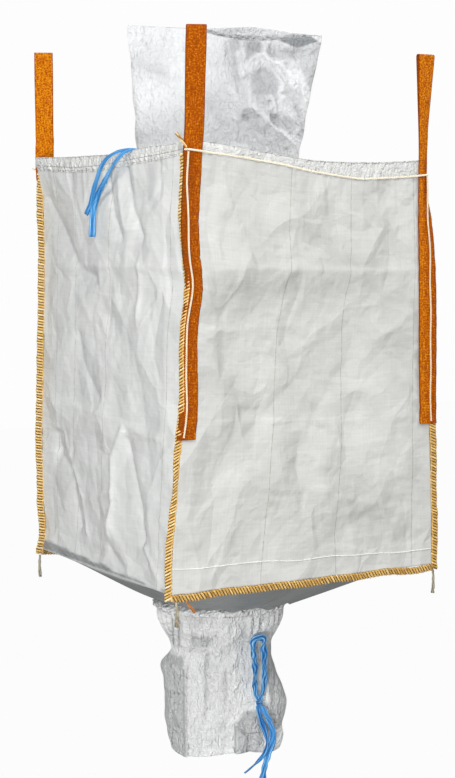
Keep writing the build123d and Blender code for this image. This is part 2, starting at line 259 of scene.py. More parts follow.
def hem_stitch(side, a):
    """Level of the stitch line at a hem's foot."""
    return through(a, *HEM_STITCHES[side])


FRONT_FOLDS = creases(
    (0.0065, 0.030, [(-0.45, -0.712), (-0.23, -0.701), (-0.05, -0.709), (0.14, -0.713), (0.45, -0.720)]),
    (0.0050, 0.034, [(-0.45, -1.151), (-0.05, -1.167), (0.14, -1.176), (0.45, -1.181)]),
    (0.0045, 0.020, [(-0.16, -1.400), (-0.006, -1.406), (0.061, -1.388), (0.118, -1.410), (0.312, -1.464)]),
    (-0.0060, 0.045, [(0.02, -1.50), (0.20, -1.47), (0.30, -1.52)]),
    (-0.0060, 0.010, [(-0.326, -0.416), (-0.227, -0.639), (-0.205, -0.705)]),
    (0.0035, 0.014, [(-0.087, -0.799), (-0.124, -0.858)]),
    (0.0035, 0.010, [(0.156, -0.828), (0.253, -0.820)]),
    (0.0050, 0.018, [(0.404, -0.839), (0.245, -0.935)]),
    (-0.0050, 0.030, [(0.245, -0.462), (0.156, -0.541)]),
    (-0.0030, 0.008, [(-0.035, -0.42), (-0.03, -0.52)]),
    (-0.0030, 0.008, [(-0.005, -0.43), (-0.01, -0.56)]),
    (0.0030, 0.010, [(0.03, -0.43), (0.035, -0.53)]),
    (0.0030, 0.008, [(-0.45, -1.480), (-0.405, -1.493), (-0.364, -1.512)]),
    (0.0040, 0.022, [(-0.28, -1.30), (-0.16, -1.364), (0.061, -1.388)]),
    (-0.0040, 0.030, [(-0.40, -1.55), (-0.28, -1.44)]),
    (0.0030, 0.020, [(0.10, -1.26), (0.32, -1.24)]),
)
LEFT_FOLDS = creases(
    (-0.0100, 0.014, [(0.010, -0.369), (0.023, -0.463), (0.049, -0.541), (0.107, -0.618)]),
    (-0.0100, 0.014, [(0.119, -0.373), (0.132, -0.450), (0.175, -0.542), (0.218, -0.618)]),
    (0.0070, 0.016, [(0.070, -0.380), (0.085, -0.480), (0.130, -0.590)]),
    (-0.0120, 0.028, [(-0.422, -0.467), (-0.276, -0.601), (-0.206, -0.688), (-0.069, -0.744)]),
    (0.0100, 0.014, [(0.200, -0.663), (0.194, -0.875)]),
    (-0.0100, 0.032, [(-0.192, -0.907), (-0.137, -1.032), (-0.036, -1.119)]),
    (0.0060, 0.020, [(-0.30, -0.705), (-0.07, -0.700), (0.20, -0.700), (0.42, -0.703)]),
    (0.0050, 0.020, [(-0.43, -1.166), (-0.206, -1.149), (0.02, -1.17)]),
    (0.0130, 0.014, [(0.125, -1.195), (0.068, -1.281), (0.068, -1.358), (0.075, -1.419), (0.049, -1.546)]),
    (-0.0150, 0.018, [(0.130, -1.215), (0.181, -1.314), (0.230, -1.429), (0.267, -1.529)]),
    (0.0060, 0.018, [(0.125, -1.183), (0.279, -1.202), (0.338, -1.208)]),
    (0.0060, 0.008, [(-0.096, -1.444), (0.075, -1.394)]),
    (-0.0140, 0.034, [(-0.334, -1.241), (-0.334, -1.307), (-0.227, -1.360), (-0.213, -1.455),
                      (-0.171, -1.546)]),
    (0.0070, 0.010, [(-0.241, -1.300), (-0.180, -1.400), (-0.110, -1.560)]),
    (0.0050, 0.007, [(0.267, -1.529), (0.338, -1.592), (0.400, -1.640)]),
    (-0.0070, 0.012, [(0.043, -1.572), (0.094, -1.601), (0.157, -1.627)]),
    (0.0050, 0.030, [(0.33, -0.50), (0.35, -0.90), (0.36, -1.20)]),
)
PACKING = creases(
    (0.0060, 0.028, [(-0.45, -0.705), (0.45, -0.712)]),
    (0.0050, 0.030, [(-0.45, -1.160), (0.45, -1.170)]),
)


def gathers(count, side):
    """Short upright creases that hang from the hem, where its folded plies are drawn in."""
    a = FIXED.uniform(-0.39, 0.39, count)
    long = FIXED.uniform(0.04, 0.15, count)
    high = FIXED.uniform(0.0015, 0.0042, count) * FIXED.choice([-1.0, 1.0], count)
    width = FIXED.uniform(0.006, 0.013, count)
    top = hem_stitch(side, a)
    return list(zip(a, top + 0.01, a + FIXED.normal(0, 0.012, count), top - long, high, width))


def wall_folds():
    """Creases of each wall: its own, gathers under the hem, and chance ones, broad and fine."""
    upright = (math.pi / 2, 0.75)
    slack = {}
    for side, own, few, steep in (
        ("front", FRONT_FOLDS, 60, (0.09, 0.22)),
        ("left", LEFT_FOLDS, 44, (0.05, 0.16)),
        ("right", PACKING, 60, (0.07, 0.18)),
        ("back", PACKING, 60, (0.07, 0.18)),
    ):
        broad = chance_folds(few, (-0.42, 0.42), (-1.62, -0.44), (0.10, 0.36), (0.016, 0.050), steep, upright)
        fine = chance_folds(5 * few // 2, (-0.43, 0.43), (-1.63, -0.42), (0.03, 0.13), (0.005, 0.014),
                            (0.09, 0.26), (0.7, 1.2))
        slack[side] = own + gathers(17, side) + broad + fine
    return slack


FOLDS = wall_folds()
# Lean of each wall out of its plane, halfway along it, by level
BELLY = {
    "front": ([-1.65, -1.50, -1.34, -1.17, -0.95, -0.80, -0.71, -0.60, -0.36],
              [0.000, -0.006, -0.002, -0.014, -0.026, -0.018, 0.012, 0.015, 0.009]),
    "left": ([-1.65, -1.45, -1.20, -0.95, -0.71, -0.50, -0.36],
             [0.000, 0.002, 0.012, 0.016, 0.018, 0.014, 0.009]),
    "right": ([-1.65, -1.40, -1.10, -0.71, -0.36], [0.000, 0.014, 0.019, 0.018, 0.009]),
    "back": ([-1.65, -1.40, -1.10, -0.71, -0.36], [0.000, 0.012, 0.018, 0.017, 0.009]),
}


def wall_out(side, a, z):
    """Stand-off of a wall: its belly, fading to the corners, and its folds, which die out at the seams;
    small puckers run along both corner seams."""
    edge = HALF - 0.042 if side in ("front", "back") else HALF
    belly = through(z, *BELLY[side]) * across(np.clip(a * HALF / edge, -HALF, HALF))
    inside = np.clip(edge + 0.004 - np.abs(a), 0, None)
    free = smooth(inside / 0.055) * smooth((z - SEAM) / 0.05)
    beside_seam = np.exp(-inside / 0.020) * smooth(inside / 0.01)
    puckers = 0.0013 * ripple(z + 0.3 * a, 5, 0.020, 0.060, 5) * beside_seam
    return belly + free * folded(a, z, FOLDS[side]) + puckers


def wall_shade(side, a, z):
    """Painted shade of a wall, as how grey it is: grey in the bottoms of its creases, and at the foot of the
    left wall, which rolls under towards the base."""
    # Painted shade: grey in the bottoms of the creases
    grey = 0.10 * np.clip(0.0012 - folded(a, z, FOLDS[side]), 0, 0.009) / 0.009
    if side == "left":
        # Painted shade in a band along the foot of the left wall, where it rolls under
        rolled = SEAM + 0.006 + 0.030 * (0.45 - a) / 0.9 + 0.004 * ripple(a, 4, 0.08, 0.3, 71)
        foot_shade = 0.75 + 0.10 * ripple(a + 3 * z, 4, 0.03, 0.12, 72)
        grey = np.maximum(grey, foot_shade * smooth((rolled - z) / 0.008))
    return grey


def base_level(x, y):
    """The base dips from its straight edges to the rim of the discharge hole, with soft gathers that run
    out from the rim."""
    share = np.maximum(0, 1 - (x / HALF) ** 2) * np.maximum(0, 1 - (y / HALF) ** 2)
    full = (SEAM - RIM) / (1 - (RIM_RADIUS / HALF) ** 2)
    turn = np.arctan2(y, x)
    near = np.exp(-np.clip(np.hypot(x, y) - RIM_RADIUS, 0, None) / 0.06)
    return SEAM - full * share + 0.004 * near * ring_ripple(turn, 6, 9, 24, 3)


# ---------------------------------------------------------------- meshes

def numbered(rows, columns, start=0):
    """Grid of point numbers, row by row."""
    return np.arange(rows * columns).reshape(rows, columns) + start


def wrapped(grid):
    """Grid with its first column repeated past its last."""
    return np.concatenate([grid, grid[:, :1]], axis=1)


def quads(index):
    """Faces between neighbouring points of a grid of point numbers, rows downward and columns to the
    right as seen from outside."""
    corners = [index[:-1, :-1], index[1:, :-1], index[1:, 1:], index[:-1, 1:]]
    return np.stack(corners, axis=-1).reshape(-1, 4)


def corner_uv(uv):
    """The uv of each corner of each face between the points of a grid."""
    return uv.reshape(-1, 2)[quads(numbered(*uv.shape[:2]))]


def spread_uv(u, v):
    """Grid of uv from a row, a column or a grid of each."""
    return np.stack(np.broadcast_arrays(u, v), axis=-1)


def patch(points, uv, around=False, flip=False, ends=False, tone=0.0):
    """Grid of points as (points, faces, uv of each face corner, tone). around joins the last column to the
    first; ends closes the first and last row, which need an even number of points each."""
    rows, columns = points.shape[:2]
    index = numbered(rows, columns)
    faces = quads(wrapped(index) if around else index)
    face_uv = corner_uv(uv)
    if ends:
        i = np.arange(columns // 2 - 1)
        for row, order in ((index[0], 1), (index[-1], -1)):
            lid = np.stack([row[i], row[i + 1], row[columns - 2 - i], row[columns - 1 - i]], axis=-1)
            faces = np.concatenate([faces, lid[:, ::order]])
            face_uv = np.concatenate([face_uv, np.zeros((len(lid), 4, 2))])
    if flip:
        faces, face_uv = faces[:, ::-1], face_uv[:, ::-1]
    return points.reshape(-1, 3), faces, face_uv, np.broadcast_to(tone, (rows, columns)).reshape(-1)


def looped(points, uv, tone):
    """Patch of a grid whose last row joins its first, as its last column does. The uv has a row and a
    column more than the points."""
    index = wrapped(numbered(*points.shape[:2]))
    index = np.vstack([index, index[:1]])
    return points.reshape(-1, 3), quads(index), corner_uv(uv), tone


def joined(patches):
    """Several patches as one."""
    start = np.cumsum([0] + [len(p[0]) for p in patches])
    return (
        np.concatenate([p[0] for p in patches]),
        np.concatenate([p[1] + s for p, s in zip(patches, start)]),
        np.concatenate([p[2] for p in patches]),
        np.concatenate([p[3] for p in patches]),
    )


def make(name, shape, material, replaced=(), body="bag", thickness=0.0):
    """Blender object of a patch. A cloth piece gets its thickness inwards."""
    points, faces, face_uv, tone = shape
    mesh = bpy.data.meshes.new(name)
    mesh.from_pydata(points.tolist(), [], faces.tolist())
    layer = mesh.uv_layers.new(name="cloth")
    layer.data.foreach_set("uv", face_uv.reshape(-1).astype(np.float32))
    shade = mesh.attributes.new("tone", "FLOAT", "POINT")
    shade.data.foreach_set("value", tone.astype(np.float32))
    mesh.shade_smooth()
    mesh.materials.append(material)
    mesh.update()
    piece = bpy.data.objects.new(name, mesh)
    bpy.context.scene.collection.objects.link(piece)
    if thickness:
        wall = piece.modifiers.new("thickness", "SOLIDIFY")
        wall.thickness = thickness
        wall.offset = -1.0
        wall.use_even_offset = False
    if body:
        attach(piece, body)
    if replaced:
        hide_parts(*replaced)
    return piece


def distances(path):
    """Distance along a path at each of its points."""
    return np.concatenate([[0], np.cumsum(np.linalg.norm(np.diff(path, axis=0), axis=1))])


def at_distances(at, steps, values):
    """Values (n, 3) that are given at the distances steps, read off at other distances."""
    return np.stack([np.interp(at, steps, values[:, i]) for i in range(3)], -1)


def carried(path, right, up, profile, grow=1.0, tone=0.0):
    """Closed tube: a profile (m, 2) carried along a path (n, 3), so that point = path + right * p + up * q,
    with the two directions given at each point of the path, and both scaled by grow, one or (n,)."""
    scaled = profile[None] * np.broadcast_to(grow, len(path))[:, None, None]
    points = path[:, None] + right[:, None] * scaled[..., :1] + up[:, None] * scaled[..., 1:]
    girth = distances(np.vstack([profile, profile[:1]]))
    uv = spread_uv(girth[None, :], distances(path)[:, None])
    return patch(points, uv, around=True, ends=True, tone=tone)


def unit(v):
    """Directions of vectors."""
    return v / np.maximum(np.linalg.norm(v, axis=-1, keepdims=True), 1e-9)


def frames(path, toward):
    """Directions square to a path: up is toward, squared to the path, and right is square to both."""
    along = unit(np.gradient(path, axis=0))
    toward = np.broadcast_to(np.asarray(toward, float), path.shape)
    up = unit(toward - along * (toward * along).sum(-1, keepdims=True))
    return np.cross(along, up), up


def round_profile(radius, count, flat=1.0):
    """Circle, or an oval with its second measure made smaller by flat."""
    turn = np.linspace(0, 2 * np.pi, count, endpoint=False)
    return np.stack([radius * np.cos(turn), -radius * flat * np.sin(turn)], axis=-1)


def thread(path, radius, toward, sides=6, tone=0.0):
    """Round closed tube along a path; tone is one or (n,)."""
    right, up = frames(path, toward)
    tones = np.broadcast_to(tone, len(path))[:, None]
    return carried(path, right, up, round_profile(radius, sides), tone=tones)


# ---------------------------------------------------------------- materials

def colour(code):
    """Linear colour of an sRGB hex code."""
    parts = [int(code[i:i + 2], 16) / 255 for i in (1, 3, 5)]
    return tuple(c / 12.92 if c <= 0.04045 else ((c + 0.055) / 1.055) ** 2.4 for c in parts) + (1.0,)


def add(tree, kind, links=(), **settings):
    """New node of a kind. Settings name either a property or, with spaces as underscores, an input;
    links are (input, output socket) pairs."""
    node = tree.nodes.new(kind)
    for name, value in settings.items():
        if hasattr(node, name):
            setattr(node, name, value)
        else:
            node.inputs[name.replace("_", " ")].default_value = value
    for socket, source in links:
        tree.links.new(source, node.inputs[socket])
    return node


def ramp(tree, source, stops):
    """Colour ramp over a value; each stop is (place, colour code or grey)."""
    node = add(tree, "ShaderNodeValToRGB", [("Fac", source)])
    elements = node.color_ramp.elements
    while len(elements) < len(stops):
        elements.new(0.5)
    for element, (place, code) in zip(elements, stops):
        element.position = place
        element.color = colour(code) if isinstance(code, str) else (code, code, code, 1.0)
    return node.outputs["Color"]


def math_node(tree, operation, *values):
    """Result of a sum on numbers and output sockets."""
    node = add(tree, "ShaderNodeMath", operation=operation)
    for socket, value in zip(node.inputs, values):
        if isinstance(value, (int, float)):
            socket.default_value = value
        else:
            tree.links.new(value, socket)
    return node.outputs[0]


def new_material(name, roughness, specular, sheen=0.0):
    """New material with its node tree and its shader."""
    material = bpy.data.materials.new(name)
    material.use_nodes = True
    tree = material.node_tree
    shader = tree.nodes["Principled BSDF"]
    shader.inputs["Roughness"].default_value = roughness
    shader.inputs["Specular IOR Level"].default_value = specular
    shader.inputs["Sheen Weight"].default_value = sheen
    return material, tree, shader


def stretched(tree, name, scale):
    """The piece's cloth coordinates, in metres, scaled unevenly."""
    place = add(tree, "ShaderNodeUVMap", uv_map="cloth")
    mapping = add(tree, "ShaderNodeMapping", [("Vector", place.outputs["UV"])], name=name)
    mapping.inputs["Scale"].default_value = scale
    return mapping.outputs["Vector"]


def woven_polypropylene(name, dark, light, tracers=(), gloss=0.46, facets=()):
    """Woven polypropylene, laminated: satin white tapes about 2.5 mm wide. The eye gets faint level lines
    where tapes overlap, a soft mottle from uneven coating, pale brown tracer yarns, and the small flat facets
    of cloth that was folded up: warped cells whose height grows evenly from each middle. The tape pattern
    is drawn at about 6 mm, because the real one is finer than a render can show. The tone attribute
    darkens the cloth towards grey, as painted shade."""
    material, tree, shader = new_material(name, gloss, 0.38)
    tapes = add(tree, "ShaderNodeTexNoise", [("Vector", stretched(tree, "tapes", (9, 170, 1)))],
                Scale=1.0, Detail=3.0)
    yarns = add(tree, "ShaderNodeTexNoise", [("Vector", stretched(tree, "yarns", (210, 7, 1)))],
                Scale=1.0, Detail=2.0)
    mottle = add(tree, "ShaderNodeTexNoise", [("Vector", stretched(tree, "mottle", (7, 5, 1)))],
                 Scale=1.0, Detail=5.0)
    lines = math_node(tree, "ADD", math_node(tree, "MULTIPLY", tapes.outputs["Fac"], 0.30),
                      math_node(tree, "MULTIPLY", yarns.outputs["Fac"], 0.22))
    tint = math_node(tree, "ADD", lines, math_node(tree, "MULTIPLY", mottle.outputs["Fac"], 0.50))
    cloth = ramp(tree, tint, [(0.30, dark), (0.72, light)])
    # Painted shade: the tone attribute multiplies the cloth towards the grey below
    tone = add(tree, "ShaderNodeAttribute", attribute_name="tone")
    # A mix node's inputs: 0 is the share, 6 and 7 are the two colours
    shaded = add(tree, "ShaderNodeMix", data_type="RGBA", blend_type="MULTIPLY")
    tree.links.new(tone.outputs["Fac"], shaded.inputs[0])
    tree.links.new(cloth, shaded.inputs[6])
    shaded.inputs[7].default_value = colour("#84878a")
    cloth = shaded.outputs[2]
    if tracers:
        place = add(tree, "ShaderNodeSeparateXYZ", [("Vector", stretched(tree, "tracer", (1, 1, 1)))])
        mark = None
        for middle, lean in tracers:
            sway = math_node(tree, "MULTIPLY_ADD", place.outputs["Y"], lean, middle)
            off = math_node(tree, "ABSOLUTE", math_node(tree, "SUBTRACT", place.outputs["X"], sway))
            one = math_node(tree, "LESS_THAN", off, 0.0013)
            mark = one if mark is None else math_node(tree, "MAXIMUM", mark, one)
        dashes = add(tree, "ShaderNodeTexNoise", [("Vector", stretched(tree, "dashes", (1, 60, 1)))],
                     Scale=1.0, Detail=1.0)
        worn = ramp(tree, dashes.outputs["Fac"], [(0.35, 0.25), (0.6, 0.75)])
        strength = math_node(tree, "MULTIPLY", mark, worn)
        mixed = add(tree, "ShaderNodeMix", data_type="RGBA")
        tree.links.new(strength, mixed.inputs[0])
        tree.links.new(cloth, mixed.inputs[6])
        mixed.inputs[7].default_value = colour("#9d998a")
        cloth = mixed.outputs[2]
    tree.links.new(cloth, shader.inputs["Base Color"])
    bump = add(tree, "ShaderNodeBump", [("Height", lines)], Strength=0.5, Distance=0.0007)
    for number, (metric, wide, tall, deep) in enumerate(facets):
        plain = stretched(tree, "facets %d" % number, (wide, tall, 1))
        bend = add(tree, "ShaderNodeTexNoise", [("Vector", plain)], Scale=0.7, Detail=1.0)
        warped = add(tree, "ShaderNodeVectorMath", [(0, bend.outputs["Color"]), (2, plain)],
                     operation="MULTIPLY_ADD")
        warped.inputs[1].default_value = (1.6, 1.6, 0.0)
        flats = add(tree, "ShaderNodeTexVoronoi", [("Vector", warped.outputs[0])], distance=metric,
                    voronoi_dimensions="2D", Scale=1.0)
        under = ("Normal", bump.outputs["Normal"])
        bump = add(tree, "ShaderNodeBump", [("Height", flats.outputs["Distance"]), under],
                   Strength=1.0, Distance=deep)
    tree.links.new(bump.outputs["Normal"], shader.inputs["Normal"])
    rough = ramp(tree, mottle.outputs["Fac"], [(0.3, gloss - 0.06), (0.7, gloss + 0.10)])
    tree.links.new(rough, shader.inputs["Roughness"])
    return material


def orange_webbing():
    """Polypropylene lifting webbing, dope dyed and woven in a tight rib: a dry sheen, ribs across it every
    3 mm drawn clear enough to show, uneven dye along the yarns and darker selvedges."""
    material, tree, shader = new_material("woven webbing, orange polypropylene", 0.70, 0.08)
    ribs = add(tree, "ShaderNodeTexWave", [("Vector", stretched(tree, "ribs", (0, 1, 1)))],
               bands_direction="Y", Scale=105.0, Distortion=0.4, Detail=1.0)
    yarn = add(tree, "ShaderNodeTexNoise", [("Vector", stretched(tree, "yarn", (320, 30, 1)))],
               Scale=1.0, Detail=3.0)
    cross = add(tree, "ShaderNodeTexNoise", [("Vector", stretched(tree, "weft", (150, 190, 1)))],
                Scale=1.0, Detail=2.0)
    dye = math_node(tree, "ADD", math_node(tree, "MULTIPLY", yarn.outputs["Fac"], 0.4),
                    math_node(tree, "MULTIPLY", cross.outputs["Fac"], 0.6))
    # The tone darkens the dye: painted shade and light on parts of the webbing, and its darker selvedges
    tone = add(tree, "ShaderNodeAttribute", attribute_name="tone")
    place = math_node(tree, "SUBTRACT", dye, tone.outputs["Fac"])
    dyed = ramp(tree, place, [(0.0, "#402409"), (0.22, "#74400c"), (0.38, "#924200"),
                             (0.50, "#b45602"), (0.64, "#e48f10")])
    tree.links.new(dyed, shader.inputs["Base Color"])
    height = math_node(tree, "MULTIPLY_ADD", yarn.outputs["Fac"], 0.8, ribs.outputs["Fac"])
    bump = add(tree, "ShaderNodeBump", [("Height", height)], Strength=0.7, Distance=0.0012)
    tree.links.new(bump.outputs["Normal"], shader.inputs["Normal"])
    return material


def sewing_thread(name, stops, roughness=0.5):
    """Polyester or polypropylene sewing thread: a soft shine, plies that wind round it every 5 mm, and a
    colour that changes along it; tone picks the place in the colours."""
    material, tree, shader = new_material(name, roughness, 0.45, sheen=0.1)
    tone = add(tree, "ShaderNodeAttribute", attribute_name="tone")
    fibre = add(tree, "ShaderNodeTexNoise", [("Vector", stretched(tree, "fibre", (900, 240, 1)))],
                Scale=1.0, Detail=2.0)
    uneven = math_node(tree, "MULTIPLY_ADD", fibre.outputs["Fac"], 0.5, -0.25)
    place = math_node(tree, "ADD", tone.outputs["Fac"], uneven)
    tree.links.new(ramp(tree, place, stops), shader.inputs["Base Color"])
    plies = add(tree, "ShaderNodeTexWave", [("Vector", stretched(tree, "plies", (1, 1, 1)))],
                bands_direction="DIAGONAL", Scale=125.0, Distortion=0.5)
    bump = add(tree, "ShaderNodeBump", [("Height", plies.outputs["Fac"])], Strength=0.6, Distance=0.0006)
    tree.links.new(bump.outputs["Normal"], shader.inputs["Normal"])
    return material


def split_film_tape():
    """Tie tape of split polypropylene film, bright blue: glossy, part clear, with lengthwise fibres that
    read as light and dark streaks."""
    material, tree, shader = new_material("split film tape, blue polypropylene", 0.52, 0.4)
    fibre = add(tree, "ShaderNodeTexNoise", [("Vector", stretched(tree, "fibre", (480, 9, 1)))],
                Scale=1.0, Detail=4.0)
    tone = add(tree, "ShaderNodeAttribute", attribute_name="tone")
    place = math_node(tree, "ADD", fibre.outputs["Fac"], tone.outputs["Fac"])
    dye = ramp(tree, place, [(0.26, "#0d3f7c"), (0.42, "#226eb2"), (0.57, "#4796d0"), (0.70, "#74b4e4"),
                             (0.84, "#bcdff6")])
    tree.links.new(dye, shader.inputs["Base Color"])
    bump = add(tree, "ShaderNodeBump", [("Height", fibre.outputs["Fac"])], Strength=0.8, Distance=0.0012)
    tree.links.new(bump.outputs["Normal"], shader.inputs["Normal"])
    return material


# Facets of cloth: how distance is measured, cells per metre across and up, depth
FLAT = (("MANHATTAN", 5, 3.5, 0.021), ("CHEBYCHEV", 12, 10, 0.0060), ("MANHATTAN", 34, 38, 0.0009))
SLACK = (("MANHATTAN", 4.5, 4.5, 0.014), ("CHEBYCHEV", 10, 10, 0.0045), ("MANHATTAN", 30, 40, 0.0008))
CRUMPLED = (("MANHATTAN", 13, 8, 0.009), ("CHEBYCHEV", 36, 26, 0.0044), ("MANHATTAN", 100, 70, 0.0030))
PLEATED = (("MANHATTAN", 14, 6, 0.010), ("CHEBYCHEV", 40, 18, 0.0050), ("MANHATTAN", 130, 80, 0.0034))
FRONT_CLOTH = woven_polypropylene("woven polypropylene, side panel", "#bfbfbb", "#d7d7d3",
                                  [(-0.160, 0.06), (0.098, 0.035), (0.372, 0.02)], 0.46, FLAT)
U_CLOTH = woven_polypropylene("woven polypropylene, u panel", "#c5c6c4", "#dcdddb",
                              [(-0.02, 0.04), (-0.34, 0.0), (-0.205, 0.0), (0.36, 0.01)], 0.42, SLACK)
TOP_CLOTH = woven_polypropylene("woven polypropylene, top panel", "#d0d0cd", "#e6e6e4", (), 0.46, SLACK)
FILL_CLOTH = woven_polypropylene("thin woven polypropylene, fill spout", "#d6d7d8", "#e9eaeb", (), 0.46,
                                 CRUMPLED)
SPOUT_CLOTH = woven_polypropylene("thin woven polypropylene, discharge spout", "#e0e0df", "#f8f9f8", (), 0.30,
                                  PLEATED)
HEM_CLOTH = woven_polypropylene("woven polypropylene, folded hem", "#cdcdca", "#e5e5e2", (), 0.50,
                                CRUMPLED[1:])
WEBBING = orange_webbing()
OVERLOCK = sewing_thread("overlock thread, gold and brown polyester",
                         [(0.0, "#fbe8b8"), (0.25, "#ecc06a"), (0.6, "#b07f2a"), (1.0, "#4a3415")])
SEAM_EDGE = sewing_thread("cut edges of the cloth under the overlock, cream",
                          [(0.0, "#e9dcb4"), (1.0, "#c2ad7c")], 0.6)
CREAM = sewing_thread("chain stitch thread, cream polyester",
                      [(0.0, "#faf0dc"), (0.35, "#efd8ae"), (1.0, "#a87c40")])
WHITE = sewing_thread("lock stitch thread, white polyester", [(0.0, "#f4f3ef"), (1.0, "#cfccc4")])
GREY = sewing_thread("lock stitch thread, grey", [(0.0, "#8d8c87"), (1.0, "#5c5a55")])
FILLER = sewing_thread("filler cord, fibrillated beige polypropylene",
                       [(0.0, "#c3bca8"), (0.5, "#978e79"), (1.0, "#544c3c")], 0.6)
ORANGE = sewing_thread("chained thread tail, orange polyester",
                       [(0.0, "#d98f35"), (0.5, "#b0621c"), (1.0, "#5a3210")])
TAPE = split_film_tape()


# ---------------------------------------------------------------- walls and base

def wall_grid(side, columns, rows):
    """Points, cloth coordinates and painted shade of a wall, from behind its hem down to the bottom seam."""
    a = np.linspace(-HALF, HALF, columns)[None, :]
    v = np.linspace(0, 1, rows)[:, None]
    top = hem_top(side, a) - 0.004
    z = top + (SEAM - top) * v
    points = settle(on_wall(side, a, wall_out(side, a, z), z))
    return points, spread_uv(a, (HEM - SEAM) * (1 - v)), wall_shade(side, a, z)


def side_cloth(side, columns, rows):
    """Front or back wall, a sheet of its own."""
    points, uv, shade = wall_grid(side, columns, rows)
    piece = make(side + "_cloth", patch(points, uv, tone=shade), FRONT_CLOTH,
                 [side + "_panel"], thickness=0.001)


def u_cloth():
    """Left wall, base and right wall in one sheet. The base runs in rings of points from its square edge,
    shared with the lowest row of each wall, to the rim of the discharge hole."""
    left_columns, right_columns, between = 151, 71, 59
    left, left_uv, left_shade = wall_grid("left", left_columns, 200)
    right, right_uv, right_shade = wall_grid("right", right_columns, 96)
    short = np.linspace(-HALF, HALF, between + 2)[1:-1]
    edge = np.concatenate([
        np.stack([np.full(left_columns, -HALF), np.linspace(HALF, -HALF, left_columns)], -1),
        np.stack([short, np.full(between, -HALF)], -1),
        np.stack([np.full(right_columns, HALF), np.linspace(-HALF, HALF, right_columns)], -1),
        np.stack([-short, np.full(between, HALF)], -1),
    ])
    turn = np.arctan2(edge[:, 1], edge[:, 0])
    hole = (RIM_RADIUS + 0.002) * np.stack([np.cos(turn), np.sin(turn)], -1)
    inward = np.linspace(0, 1, 26)[:, None, None]
    flat = edge[None] + (hole - edge)[None] * inward
    level = base_level(flat[..., 0], flat[..., 1])
    base = settle(np.concatenate([flat, level[..., None]], axis=-1))
    # Painted shade on the underside of the base, from just inside its edge to the rim
    base_shade = np.broadcast_to(0.85 * smooth(8 * inward[..., 0]), level.shape)
    shade = np.concatenate([grid.reshape(-1) for grid in (base_shade, left_shade[:-1], right_shade[:-1])])
    base_index = numbered(*level.shape)
    left_index = numbered(len(left) - 1, left_columns, base_index.size)
    right_index = numbered(len(right) - 1, right_columns, base_index.size + left_index.size)
    right_start = left_columns + between
    faces = np.concatenate([
        quads(wrapped(base_index)),
        quads(np.vstack([left_index, base_index[:1, :left_columns]])),
        quads(np.vstack([right_index, base_index[:1, right_start:right_start + right_columns]])),
    ])
    uv = np.concatenate([corner_uv(wrapped(flat)), corner_uv(left_uv), corner_uv(right_uv)])
    points = np.concatenate([grid.reshape(-1, 3) for grid in (base, left[:-1], right[:-1])])
    piece = make("u_cloth", (points, faces, uv, shade), U_CLOTH, ["u_panel"],
                 thickness=0.001)


# ---------------------------------------------------------------- hems

HEM_SEEDS = {"front": 21, "left": 22, "right": 23, "back": 24}
CHAIN_PITCH = 0.012                          # two stitches, one of each strand


def hem_face(side, a, drop):
    """Stand-off of a hem's outer face: that of the wall, the folded plies, gathers that pucker it above
    the stitches, and a groove where the stitches draw it in."""
    z = hem_top(side, a) - drop
    band = hem_top(side, a) - hem_stitch(side, a)
    wall = wall_out(side, a, z)
    share = np.clip(drop / band, 0, 1)
    edge = smooth((HALF - np.abs(a)) / 0.05)
    pucker = 0.0016 * ripple(a + 0.25 * drop, 7, 0.012, 0.050, HEM_SEEDS[side]) * edge
    swell = 0.0022 * np.sin(np.pi * share) ** 0.6
    groove = 0.0012 * np.exp(-((drop - band) / 0.003) ** 2)
    free = 0.0022 + swell + pucker * (0.35 + 0.65 * share) - groove
    if side in ("left", "right"):
        return wall + free
    covered = smooth((np.abs(a) - (HALF - 0.048)) / 0.008)
    return wall + free * (1 - covered) - 0.0008 * covered


def hem(side):
    """Folded band round the top of a wall: its outer face runs up from the lower edge, turns over the top
    and runs down inside."""
    columns = 221 if side in ("front", "left") else 121
    a = np.linspace(-HALF, HALF, columns)[:, None]
    band = hem_top(side, a) - hem_stitch(side, a) + HEM_LIP
    rolled = 0.06  # share of the band that the turn over the top takes up
    outer = np.linspace(1, rolled, 12)[None, :] * band
    over = np.linspace(0, np.pi, 7)[None, :]
    inner = np.linspace(rolled, 1, 7)[None, :] * band
    face = hem_face(side, a, outer)
    top_face = hem_face(side, a, rolled * band)
    back = wall_out(side, a, hem_top(side, a)) - 0.0028
    middle, half = (top_face + back) / 2, (top_face - back) / 2
    out = np.concatenate([face, middle + half * np.cos(over), np.broadcast_to(back, inner.shape)], axis=1)
    drop = np.concatenate([outer, rolled * band * (1 - np.sin(over)), inner], axis=1)
    z = hem_top(side, a) - drop
    points = settle(on_wall(side, a, out, z))
    length = np.concatenate([[0], np.cumsum(np.full(out.shape[1], 0.005))])
    shape = patch(points, spread_uv(a, length[None, :]), around=True, ends=True, flip=True)
    make(side + "_hem_fold", shape, HEM_CLOTH, [side + "_hem"])


def chained(path, out, pitch, spread, radius, tone):
    """Two strands wound round each other along a path, like the links of a chain stitch: each strand is
    the path + right * spread * sin(phase) + up * radius * (1 + 0.9 * cos(2 * phase)), and its tone rises
    where it dips under the other, as painted shade."""
    steps = distances(path)
    at = np.linspace(0, steps[-1], int(steps[-1] / pitch * 10))
    fine, facing = at_distances(at, steps, path), at_distances(at, steps, out)
    right, up = frames(fine, facing)
    strands = []
    for start in (0.0, np.pi):
        phase = 2 * np.pi * at / pitch + start
        lift = radius * (1.0 + 0.9 * np.cos(2 * phase))
        strand = fine + right * (spread * np.sin(phase))[:, None] + up * lift[:, None]
        # Painted shade: darker where the strand dips under the other
        strands.append(thread(strand, radius, facing, 6, tone + 0.40 * (1 - np.cos(2 * phase)) / 2))
    return joined(strands)


def outward(side, count):
    """Direction out of a wall, count times."""
    return np.broadcast_to(on_wall(side, 0.0, 1.0, 0.0) - on_wall(side, 0.0, 0.0, 0.0), (count, 3))


